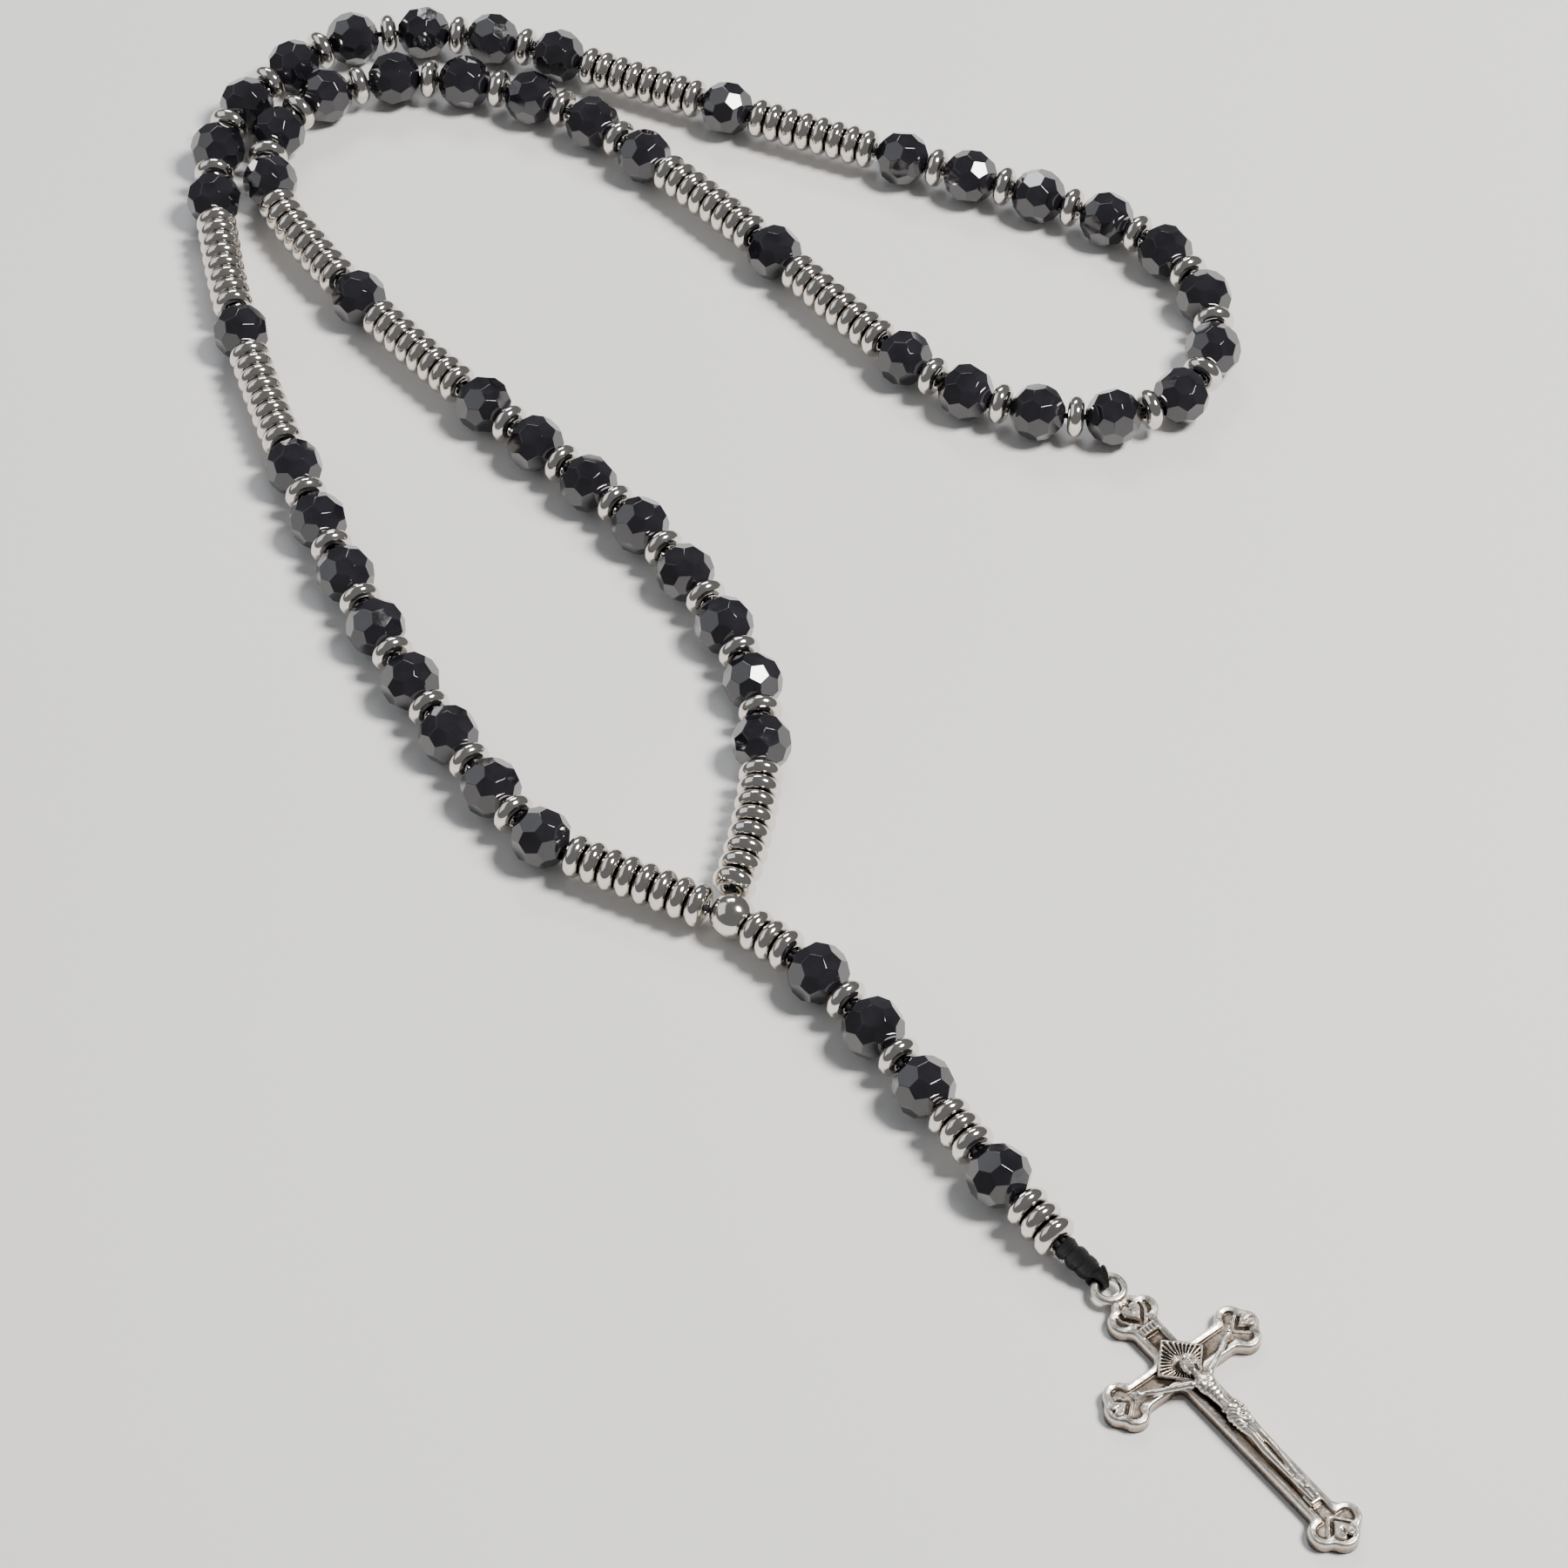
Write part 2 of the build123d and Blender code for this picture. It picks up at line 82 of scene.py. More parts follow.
# ---- Camera ----
CAMERA_PLACE = Vector((10.36, -370.12, 428.9)) * MM
CAMERA_TILT = math.radians(50.57)
CAMERA_ROLL = math.radians(0.87)


def make_camera():
    data = bpy.data.cameras.new("camera")
    data.sensor_width = 36.0
    data.lens = 96.0
    data.clip_start = 0.01
    camera = bpy.data.objects.new("camera", data)
    scene.collection.objects.link(camera)
    right = Vector((1, 0, 0))
    forward = Vector((0, math.cos(CAMERA_TILT), -math.sin(CAMERA_TILT)))
    up = Vector((0, math.sin(CAMERA_TILT), math.cos(CAMERA_TILT)))
    across = right * math.cos(CAMERA_ROLL) + up * math.sin(CAMERA_ROLL)
    upward = up * math.cos(CAMERA_ROLL) - right * math.sin(CAMERA_ROLL)
    turn = Matrix((across, upward, -forward)).transposed()
    camera.matrix_world = Matrix.Translation(CAMERA_PLACE) @ turn.to_4x4()
    scene.camera = camera


# ---- The cord's route, in millimetres here and scaled where it is used ----
JUNCTION_POINT = (4.0, -42.3, 3.4)
LOOP_ROUTE = [
    (-8.5, -37.0, 3.8), (-22.0, -30.8, 4.1), (-35.0, -12.5, 4.1), (-46.5, 7.5, 4.1),
    (-55.2, 26.0, 4.1), (-63.5, 46.5, 4.1), (-71.0, 68.0, 4.1), (-75.8, 90.0, 4.1),
    (-76.3, 103.5, 4.1), (-70.8, 114.8, 4.1), (-60.2, 126.3, 4.1), (-47.0, 128.6, 4.1),
    (-32.5, 126.0, 4.1), (-14.0, 117.8, 4.1), (5.5, 109.3, 4.1), (26.0, 101.3, 4.1),
    (45.0, 94.2, 4.1), (60.5, 86.8, 4.1), (69.0, 77.5, 4.1), (72.5, 65.0, 4.1),
    (68.3, 52.7, 4.1), (57.5, 47.0, 4.1), (44.5, 48.0, 4.1), (32.0, 53.5, 4.1),
    (20.0, 65.5, 4.1), (6.0, 82.5, 4.1), (-9.0, 98.0, 4.1), (-22.5, 110.3, 4.1),
    (-37.0, 116.6, 4.1), (-51.5, 118.0, 4.1), (-63.5, 112.0, 4.1), (-69.2, 101.0, 4.1),
    (-66.3, 88.5, 4.1), (-54.5, 71.5, 4.1), (-40.5, 55.5, 4.1), (-25.5, 40.6, 4.1),
    (-10.6, 26.4, 4.1), (0.4, 10.8, 4.1), (7.2, -5.5, 4.1), (7.4, -20.0, 4.1),
    (6.2, -29.0, 3.9), (4.4, -36.8, 3.6), (2.6, -40.6, 3.4),
]
TAIL_ROUTE = [
    JUNCTION_POINT, (9.2, -46.5, 3.7), (14.5, -51.0, 4.1), (22.0, -60.0, 4.1),
    (27.9, -68.6, 4.1), (37.1, -82.1, 4.25), (44.9, -91.7, 3.3),
]
STRAND_OFFSET = 0.45
CORD_DIAMETER = 0.8
# How far the tail's two strands run on into the knot
INTO_KNOT = 1.0
# Half the length of cord on each side of a fold of the loop, and of a gap of the tail
LOOP_BEND = 1.2
TAIL_BEND = 0.6
# How far past the loop's halfway station each side's segments are looked for
PAST_HALFWAY = 30.0


def shifted_strand(points, offset):
    """The route moved sideways in the plane, for one of the two strands side by side."""
    shifted = []
    for index, point in enumerate(points):
        before = Vector(points[max(index - 1, 0)])
        after = Vector(points[min(index + 1, len(points) - 1)])
        run = (after - before).normalized()
        shifted.append(Vector(point) + Vector((-run.y, run.x, 0)) * offset)
    return shifted


def spline_samples(name, points):
    """Points along a smooth NURBS spline of the route, as Blender gives them, in metres."""
    data = bpy.data.curves.new(name, "CURVE")
    data.dimensions = "3D"
    data.resolution_u = 32
    spline = data.splines.new("NURBS")
    spline.points.add(len(points) - 1)
    for target, point in zip(spline.points, points):
        target.co = (*(Vector(point) * MM), 1.0)
    spline.order_u = 3
    spline.use_endpoint_u = True
    holder = bpy.data.objects.new(name, data)
    scene.collection.objects.link(holder)
    bpy.context.view_layer.update()
    mesh = bpy.data.meshes.new_from_object(holder)
    samples = [vertex.co.copy() for vertex in mesh.vertices]
    bpy.data.objects.remove(holder)
    bpy.data.meshes.remove(mesh)
    return samples


class Path:
    """A polyline with distances along it."""

    def __init__(self, samples):
        self.points = samples
        self.stations = [0.0]
        for first, second in zip(samples, samples[1:]):
            self.stations.append(self.stations[-1] + (second - first).length)
        self.length = self.stations[-1]
        self.table = np.array([tuple(point) for point in samples])

    def nearest(self, point, low, high):
        """The station of the sample nearest the point, between two stations."""
        stations = np.array(self.stations)
        allowed = (stations >= low) & (stations <= high)
        gaps = np.linalg.norm(self.table - np.array(point), axis=1)
        gaps[~allowed] = np.inf
        return self.stations[int(gaps.argmin())]

    def at(self, station):
        station = min(max(station, 0.0), self.length)
        index = int(np.searchsorted(self.stations, station))
        index = min(max(index, 1), len(self.points) - 1)
        low, high = self.stations[index - 1], self.stations[index]
        share = (station - low) / (high - low) if high > low else 0.0
        return self.points[index - 1].lerp(self.points[index], share)

    def part(self, low, high):
        inner = [p for p, s in zip(self.points, self.stations) if low < s < high]
        return [self.at(low)] + inner + [self.at(high)]


# ---- Mesh helpers ----
def mesh_object(name, bm, material=None, smooth=True):
    mesh = bpy.data.meshes.new(name)
    if smooth:
        for face in bm.faces:
            face.smooth = True
    bm.to_mesh(mesh)
    bm.free()
    obj = bpy.data.objects.new(name, mesh)
    scene.collection.objects.link(obj)
    if material is not None:
        mesh.materials.append(material)
    return obj


def add_tube(bm, points, radii, sides=12, uv_scale=1.0, closed=False):
    """A tube through points, capped unless it is closed, with a UV map along and round it.

    radii is one number or one for each point.
    """
    count = len(points)
    radii = [radii] * count if isinstance(radii, (int, float)) else list(radii)
    layer = bm.loops.layers.uv.verify()
    tangents = []
    for index in range(count):
        if closed:
            ahead, behind = points[(index + 1) % count], points[index - 1]
        else:
            ahead, behind = points[min(index + 1, count - 1)], points[max(index - 1, 0)]
        tangents.append((ahead - behind).normalized())
    normal = tangents[0].orthogonal().normalized()
    loops = []
    along = [0.0]
    for index, (point, tangent) in enumerate(zip(points, tangents)):
        if index:
            normal = (normal - tangent * normal.dot(tangent)).normalized()
            along.append(along[-1] + (point - points[index - 1]).length)
        side = tangent.cross(normal)
        loop = []
        for step in range(sides):
            angle = 2 * math.pi * step / sides
            reach = normal * math.cos(angle) + side * math.sin(angle)
            loop.append(bm.verts.new(point + reach * radii[index]))
        loops.append(loop)
    for low in range(count if closed else count - 1):
        high = (low + 1) % count
        for step in range(sides):
            after = (step + 1) % sides
            face = bm.faces.new((loops[low][step], loops[low][after],
                                 loops[high][after], loops[high][step]))
            v0, v1 = step / sides, (step + 1) / sides
            u0 = along[low] * uv_scale
            u1 = (along[high] if high else along[-1]) * uv_scale
            for corner, uv in zip(face.loops, ((u0, v0), (u0, v1), (u1, v1), (u1, v0))):
                corner[layer].uv = uv
    if not closed:
        for end in (loops[0][::-1], loops[-1]):
            for corner in bm.faces.new(end).loops:
                corner[layer].uv = (0.0, 0.0)


def add_thread(bm, points, radius, sides, closed=False):
    """A tube of a radius in millimetres whose UV map counts along it in its own widths."""
    add_tube(bm, points, radius * MM, sides, 1.0 / (2 * radius * MM), closed)


def joined_mesh(node):
    """A CAD node's mesh with its doubled vertices joined."""
    bm = bmesh.new()
    bm.from_mesh(frame["nodes"][node].data)
    bmesh.ops.remove_doubles(bm, verts=bm.verts, dist=0.002 * MM)
    bm.verts.index_update()
    return bm


def islands(bm):
    """The vertices of each separate solid."""
    seen = set()
    groups = []
    for vertex in bm.verts:
        if vertex.index in seen:
            continue
        stack, members = [vertex], []
        seen.add(vertex.index)
        while stack:
            current = stack.pop()
            members.append(current)
            for edge in current.link_edges:
                other = edge.other_vert(current)
                if other.index not in seen:
                    seen.add(other.index)
                    stack.append(other)
        groups.append(members)
    return groups


FRAMES = {}


def solid_frames(node):
    """Each solid's centre of volume and the direction in which it is thinnest, a ring's axis.

    Every triangle makes a tetrahedron with one vertex of the solid, and their volumes and
    moments are summed.
    """
    if node in FRAMES:
        return FRAMES[node]
    bm = joined_mesh(node)
    groups = islands(bm)
    bmesh.ops.triangulate(bm, faces=bm.faces[:])
    bm.faces.index_update()
    found = []
    for members in groups:
        anchor = members[0].co.copy()
        faces = {face.index: face for vertex in members for face in vertex.link_faces}
        corners = np.array([[tuple(vertex.co - anchor) for vertex in faces[number].verts]
                            for number in sorted(faces)])
        a, b, c = corners[:, 0], corners[:, 1], corners[:, 2]
        cells = np.einsum("ij,ij->i", a, np.cross(b, c)) / 6.0
        total = a + b + c
        volume = cells.sum()
        centre = (cells[:, None] * total).sum(0) / 4.0 / volume
        second = sum(np.einsum("i,ij,ik->jk", cells, part, part) for part in (total, a, b, c)) / 20.0
        vectors = np.linalg.eigh(second / volume - np.outer(centre, centre))[1]
        found.append((anchor + Vector(centre), Vector(vectors[:, 0])))
    bm.free()
    FRAMES[node] = found
    return found


# ---- Materials ----
# The colour sockets of a Mix node
MIX_A, MIX_B, MIX_RESULT = 6, 7, 2


def grey(value):
    return (value, value, value)


class Shading:
    """A new material and short ways to add nodes to it; each gives the new node's output."""

    def __init__(self, name):
        self.material = bpy.data.materials.new(name)
        self.material.use_nodes = True
        self.tree = self.material.node_tree
        self.shader = self.tree.nodes["Principled BSDF"]
        self.coordinates = self.tree.nodes.new("ShaderNodeTexCoord").outputs

    def link(self, source, target):
        self.tree.links.new(source, target)

    def feed(self, source, name):
        self.link(source, self.shader.inputs[name])

    def noise(self, scale, detail=4.0, roughness=0.55):
        node = self.tree.nodes.new("ShaderNodeTexNoise")
        node.inputs["Scale"].default_value = scale
        node.inputs["Detail"].default_value = detail
        node.inputs["Roughness"].default_value = roughness
        self.link(self.coordinates["Object"], node.inputs["Vector"])
        return node.outputs["Fac"]

    def ramp(self, source, low, high, *more):
        node = self.tree.nodes.new("ShaderNodeValToRGB")
        elements = node.color_ramp.elements
        stops = (low, high, *more)
        while len(elements) < len(stops):
            elements.new(0.5)
        for element, (position, colour) in zip(elements, stops):
            element.position = position
            element.color = (*colour, 1.0)
        self.link(source, node.inputs["Fac"])
        return node.outputs["Color"]

    def scaled_sum(self, scaled, factor, added):
        node = self.tree.nodes.new("ShaderNodeMath")
        node.operation = "MULTIPLY_ADD"
        self.link(scaled, node.inputs[0])
        node.inputs[1].default_value = factor
        self.link(added, node.inputs[2])
        return node.outputs["Value"]

    def bump(self, height, strength, distance, normal=None):
        node = self.tree.nodes.new("ShaderNodeBump")
        node.inputs["Strength"].default_value = strength
        node.inputs["Distance"].default_value = distance * MM
        self.link(height, node.inputs["Height"])
        if normal is not None:
            self.link(normal, node.inputs["Normal"])
        return node.outputs["Normal"]


def black_glass():
    look = Shading("black_glass")
    look.feed(look.ramp(look.noise(220.0, 3.0), (0.3, (0.004, 0.004, 0.0055)),
                        (0.7, (0.013, 0.012, 0.017))), "Base Color")
    look.feed(look.ramp(look.noise(650.0, 6.0), (0.35, grey(0.02)), (0.72, grey(0.09))),
              "Roughness")
    look.shader.inputs["IOR"].default_value = 1.62
    look.shader.inputs["Coat Weight"].default_value = 0.4
    look.shader.inputs["Coat Roughness"].default_value = 0.03
    look.feed(look.bump(look.noise(900.0, 2.0), 0.12, 0.03), "Normal")
    return look.material


def silver(name, light, dark, rough_low, rough_high, patina, crevice, dent, aged=False):
    """Silver with worn bright faces, painted shade darkening its hollows and the gaps between touching
    parts (on the aged cast this also stands for its dark patina), and fine handling marks.
    """
    look = Shading(name)
    look.shader.inputs["Metallic"].default_value = 1.0
    # Ambient occlusion darkens the colour in hollows and between touching parts, as between stacked
    # rings: painted shade, which on the aged cast also stands for its patina
    occlusion_shade = look.tree.nodes.new("ShaderNodeAmbientOcclusion")
    occlusion_shade.samples = 8
    occlusion_shade.inputs["Distance"].default_value = crevice * MM
    cloud = look.noise(260.0, 5.0, 0.6)
    shade = look.scaled_sum(cloud, patina, occlusion_shade.outputs["AO"])
    colour = look.ramp(shade, (0.30 + patina / 2, dark), (0.72 + patina / 2, light))
    bump = look.bump(look.noise(420.0), dent, 0.06)
    if aged:
        # The cast's own map of patina, with painted shade of the figure on the beam fields
        tarnish_and_shade = look.tree.nodes.new("ShaderNodeAttribute")
        tarnish_and_shade.attribute_name = "tarnish_and_shade"
        grain = look.noise(2600.0, 3.0)
        speck = look.scaled_sum(grain, 0.4, look.scaled_sum(cloud, 0.5, tarnish_and_shade.outputs["Fac"]))
        depth = look.ramp(speck, (0.46, grey(1.0)), (0.80, (0.50, 0.42, 0.37)),
                          (1.0, (0.14, 0.12, 0.105)))
        multiply = look.tree.nodes.new("ShaderNodeMix")
        multiply.data_type = "RGBA"
        multiply.blend_type = "MULTIPLY"
        multiply.inputs["Factor"].default_value = 1.0
        look.link(colour, multiply.inputs[MIX_A])
        look.link(depth, multiply.inputs[MIX_B])
        colour = multiply.outputs[MIX_RESULT]
        bump = look.bump(grain, 0.55, 0.05, bump)
    look.feed(colour, "Base Color")
    look.feed(look.ramp(look.noise(700.0, 8.0, 0.65), (0.3, grey(rough_low)),
                        (0.75, grey(rough_high))), "Roughness")
    look.feed(bump, "Normal")
    return look.material


def black_thread(name, turns, strength, bright):
    """Braided black nylon: two sets of slanting strands on the tube's own UV map, their crests painted
    lighter as highlights.
    """
    look = Shading(name)
    weave = look.tree.nodes.new("ShaderNodeMath")
    weave.operation = "MAXIMUM"
    for socket, slant in zip(weave.inputs, (1.0, -1.0)):
        mapping = look.tree.nodes.new("ShaderNodeMapping")
        mapping.inputs["Scale"].default_value = (turns, 1.0, 1.0)
        mapping.inputs["Rotation"].default_value = (0.0, 0.0, slant * 0.8)
        look.link(look.coordinates["UV"], mapping.inputs["Vector"])
        wave = look.tree.nodes.new("ShaderNodeTexWave")
        wave.inputs["Scale"].default_value = 1.6
        wave.inputs["Distortion"].default_value = 0.6
        look.link(mapping.outputs["Vector"], wave.inputs["Vector"])
        look.link(wave.outputs["Fac"], socket)
    strands = weave.outputs["Value"]
    # The strand crests go up to the given grey: painted highlights of the braid's sheen
    look.feed(look.ramp(strands, (0.3, (0.003, 0.003, 0.004)),
                        (0.9, (bright, bright, bright * 1.15))), "Base Color")
    fuzz = look.noise(2500.0, 3.0)
    look.feed(look.ramp(fuzz, (0.3, grey(0.34)), (0.7, grey(0.58))), "Roughness")
    look.shader.inputs["Sheen Weight"].default_value = 0.01
    look.shader.inputs["Specular IOR Level"].default_value = 0.26
    look.feed(look.bump(fuzz, 0.3, 0.03, look.bump(strands, strength, 0.08)), "Normal")
    return look.material


def floor_material():
    look = Shading("floor")
    look.feed(look.ramp(look.noise(3.0), (0.3, (0.70, 0.695, 0.69)), (0.7, (0.74, 0.735, 0.73))),
              "Base Color")
    look.shader.inputs["Roughness"].default_value = 0.85
    look.feed(look.bump(look.noise(900.0), 0.05, 0.2), "Normal")
    return look.material


GLASS = black_glass()
# The rings and the junction bead carry painted shade in their gaps from silver's occlusion darkening
RING_SILVER = silver("ring_silver", (0.76, 0.715, 0.66), (0.05, 0.038, 0.03), 0.05, 0.15,
                     patina=0.30, crevice=1.1, dent=0.16)
BEAD_SILVER = silver("junction_silver", (0.76, 0.72, 0.66), (0.06, 0.048, 0.038), 0.05, 0.17,
                     patina=0.30, crevice=1.1, dent=0.2)
# The last number is the grey of the strands' painted highlights
THREAD = black_thread("black_thread", 1.0, 0.8, 0.03)


# ---- The cord ----
def tube_piece(name, points, bodies, blend_points=None):
    """A stretch of cord that rides on one body, or is left where it lies on no body when given the
    points round its fold.
    """
    bm = bmesh.new()
    add_thread(bm, points, CORD_DIAMETER / 2, 12)
    obj = mesh_object(name, bm, THREAD)
    if blend_points is None:
        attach(obj, bodies[0])
    else:
        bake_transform(obj)
    return obj


def segment_middles(path, prefix, count, low, high):
    """For each rigid segment, the station of the solid nearest its middle, hidden in a bore."""
    found = []
    for number in range(1, count + 1):
        stations = sorted(path.nearest(centre, low, high) for node in BODIES[f"{prefix}_{number}"]
                          for centre, _ in solid_frames(node))
        found.append(stations[len(stations) // 2])
    return found


def joint_point(name):
    return Vector(next(joint["pos_m"] for joint in frame["joints"] if joint["name"] == name))


def build_cord():
    """The whole cord's route, and the loop's part of it in stretches that each hold one fold.

    Returns the route and the stations at which the loop starts and stops.
    """
    strand_out = shifted_strand(TAIL_ROUTE, STRAND_OFFSET)
    strand_back = shifted_strand(TAIL_ROUTE, -STRAND_OFFSET)
    route = strand_back[::-1] + [Vector(point) for point in LOOP_ROUTE] + strand_out[1:]
    path = Path(spline_samples("cord_route", route))
    junction = Vector(JUNCTION_POINT) * MM
    start = path.nearest(junction, 0.0, path.length * 0.2)
    stop = path.nearest(junction, path.length * 0.8, path.length)
    half = (start + stop) / 2
    count = sum(1 for name in frame["bodies"] if name.startswith("outer_"))
    outer = segment_middles(path, "outer", count, start, half + PAST_HALFWAY * MM)
    inner = segment_middles(path, "inner", count, half - PAST_HALFWAY * MM, stop)
    step = LOOP_BEND * MM
    for side, middles, anchor in (("outer", outer, start), ("inner", inner, stop)):
        cuts = [anchor] + middles
        for number in range(1, count + 1):
            parent = "junction" if number == 1 else f"{side}_{number - 1}"
            child = f"{side}_{number}"
            low, high = sorted(cuts[number - 1:number + 1])
            sign = 1 if side == "outer" else -1
            points = path.part(low, high)[::sign]
            fold = path.nearest(joint_point(f"{side}_fold_{number}"), low, high)
            ends = (path.at(fold - sign * step), path.at(fold + sign * step))
            obj = tube_piece(f"cord_{side}_{number}", points, (parent, child), ends)
    points = path.part(outer[-1], inner[-1])
    tube_piece("cord_far_turn", points, (f"outer_{count}",))
    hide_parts("stringing_cord")
    return path, start, stop


make_camera()
CORD_PATH, CORD_START, CORD_STOP = build_cord()


def build_tail_cord():
    """Both strands inside the tail, in short stretches that each span one gap."""
    chain = ["junction"]
    joints = []
    while True:
        joint = next((j for j in frame["joints"] if j["parent"] == chain[-1]
                      and not j["name"].startswith(("outer_", "inner_"))), None)
        if joint is None or joint["child"] == "crucifix":
            break
        joints.append(joint)
        chain.append(joint["child"])
    middle_of = {}
    for body in chain[1:-1]:
        low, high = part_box(BODIES[body][0])
        middle_of[body] = (low + high) / 2
    for number, joint in enumerate(joints):
        parent, child = joint["parent"], joint["child"]
        bm = bmesh.new()
        for near, far in ((CORD_START, 0.0), (CORD_STOP, CORD_PATH.length)):
            low, high = sorted((near, far))
            if parent != "junction":
                near = CORD_PATH.nearest(middle_of[parent], low, high)
            if child in middle_of:
                far = CORD_PATH.nearest(middle_of[child], low, high)
            points = CORD_PATH.part(*sorted((near, far)))[::1 if far > near else -1]
            if child not in middle_of:
                ahead = (points[-1] - points[-2]).normalized()
                points = points + [points[-1] + ahead * INTO_KNOT * MM]
            add_thread(bm, points, CORD_DIAMETER / 2, 12)
        fold = CORD_PATH.nearest(Vector(joint["pos_m"]), CORD_STOP, CORD_PATH.length)
        ends = (CORD_PATH.at(fold - TAIL_BEND * MM), CORD_PATH.at(fold + TAIL_BEND * MM))
        obj = mesh_object(f"cord_tail_{number + 1}", bm, THREAD)
        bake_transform(obj)


build_tail_cord()


# ---- Beads and rings ----
# The turns from facet to facet that are polished round, and how wide the polish is
FACET_TURN = (math.radians(22), math.radians(60))
POLISH_WIDTH = 0.11
# Smaller faces, in square millimetres, are the polish and not a facet
FACET_AREA = 1.2


def bevelled_beads(node, body):
    """The node's faceted beads with their facet edges polished round."""
    bm = joined_mesh(node)
    bmesh.ops.dissolve_limit(bm, angle_limit=math.radians(2), verts=bm.verts[:], edges=bm.edges[:])
    edges = [edge for edge in bm.edges
             if FACET_TURN[0] < edge.calc_face_angle(0.0) < FACET_TURN[1]]
    bmesh.ops.bevel(bm, geom=edges, offset=POLISH_WIDTH * MM, segments=2, profile=0.6,
                    affect="EDGES", clamp_overlap=True)
    for face in bm.faces:
        face.smooth = face.calc_area() < FACET_AREA * MM * MM
    obj = mesh_object(f"{node}_polished", bm, GLASS, smooth=False)
    finish_piece(obj, node, body)


# A ring's half profile, as radius and place along the axis, from the bore to the middle
RING_PROFILE = [
    (1.10, -0.88), (1.15, -1.06), (1.30, -1.16), (1.62, -1.19), (1.92, -1.17), (2.18, -1.10),
    (2.46, -0.94), (2.71, -0.69), (2.89, -0.37), (2.96, 0.0),
]


def lathe(bm, profile, centre, axis, sides, tilt=0.0):
    """A closed ring of a half profile and its mirror image, turned about the axis by tilt."""
    full = profile + [(r, -z) for r, z in profile[-2::-1]]
    side = axis.orthogonal().normalized()
    side.rotate(Matrix.Rotation(tilt, 3, axis))
    other = axis.cross(side)
    rows = []
    for step in range(sides):
        angle = 2 * math.pi * step / sides
        outward = side * math.cos(angle) + other * math.sin(angle)
        rows.append([bm.verts.new(centre + outward * (r * MM) + axis * (z * MM)) for r, z in full])
    for step in range(sides):
        after = (step + 1) % sides
        for index in range(len(full)):
            nxt = (index + 1) % len(full)
            bm.faces.new((rows[step][index], rows[after][index], rows[after][nxt], rows[step][nxt]))


def polished_rings(node, body):
    bm = bmesh.new()
    for centre, axis in solid_frames(node):
        lathe(bm, RING_PROFILE, centre, axis.normalized(), 56, random.uniform(0, math.pi))
    bmesh.ops.recalc_face_normals(bm, faces=bm.faces[:])
    obj = mesh_object(f"{node}_polished", bm, RING_SILVER)
    finish_piece(obj, node, body)


def finish_piece(obj, node, body):
    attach(obj, body)
    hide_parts(node)


def build_strung_pieces():
    for body, members in BODIES.items():
        for node in members:
            if node == "junction_bead" or node == "stringing_cord":
                continue
            if "bead" in node:
                bevelled_beads(node, body)
            elif "ring" in node:
                polished_rings(node, body)
    junction = frame["nodes"]["junction_bead"]
    junction.data.materials.clear()
    junction.data.materials.append(BEAD_SILVER)


build_strung_pieces()


# ---- The crucifix ----
ANTIQUE = silver("antique_silver", (0.69, 0.645, 0.58), (0.045, 0.036, 0.029), 0.2, 0.42,
                 patina=0.34, crevice=0.9, dent=0.4, aged=True)
EYE_CENTRE = 13.9
EYE_RADIUS = 1.75
EYE_WIRE = 0.55
EYE_HEIGHT = 1.6
RIM_HEIGHT = 1.8
FIELD_HEIGHT = 1.36
RIM_WIDTH = 0.84
GRID_STEP = 0.085
BEAM_MIDDLE = -8.45
BEAM_HALF = 18.85
ARM_RISE = 0.5
ARM_HALF = (9.8, 2.05)
NECK_PLACE = 12.3
NECK_HALF = (0.85, 0.7)
EDGE_ROUNDING = 0.40
HEART_RISE = 0.72
BORDER_RISE = 0.22
DISH_DEPTH = 0.12
PANEL_RISE = 0.95
HALF_DIAGONAL = 3.75
PANEL_HEIGHT = 2.14
PANEL_SINK = 0.36
RAY_COUNT = 34
RAY_ORIGIN = 0.35
RAY_RISE = 0.30
RAY_TOP = 2.12
PLAQUE_PLACE = 6.65
PLAQUE_HALF = (1.25, 0.66)
PLAQUE_HEIGHT = 2.12
GROOVE_STEP = 0.52
GROOVE_DEPTH = 0.26
# Each end of a beam: the way it points, how high its middle is, its side lobes' reach and spread,
# its tip's reach, the lobes' radius, the heart's reach and the radius of the heart's round halves
BeamEnd = namedtuple("BeamEnd", "turn rise reach spread tip radius heart_reach heart_radius")
BEAM_ENDS = [
    BeamEnd(0.0, 0.0, 9.45, 1.6, 10.7, 1.85, 9.3, 0.8),
    BeamEnd(90.0, ARM_RISE, 8.8, 1.55, 9.85, 1.8, 9.75, 0.7),
    BeamEnd(-90.0, ARM_RISE, 8.8, 1.55, 9.85, 1.8, 9.75, 0.7),
    BeamEnd(180.0, 0.0, 26.3, 1.65, 27.75, 1.95, 27.2, 0.82),
]


def cross_matrix():
    """The crucifix's own frame: X along its arms, Y towards its eye, origin on its back."""
    swing = next(joint for joint in frame["joints"] if joint["name"] == "crucifix_swing")
    across = -Vector(swing["axis"]).normalized()
    along = Vector((-across.y, across.x, 0.0))
    top = Vector(swing["pos_m"])
    origin = top - along * ((EYE_CENTRE + EYE_RADIUS) * MM)
    origin.z = 0.0
    turn = Matrix((across, along, UP)).transposed()
    return Matrix.Translation(origin) @ turn.to_4x4()


CROSS = cross_matrix()


def smooth_step(low, high, value):
    """From 0 at low to 1 at high, where low may be the greater of the two."""
    share = np.clip((value - low) / (high - low), 0.0, 1.0)
    return share * share * (3 - 2 * share)


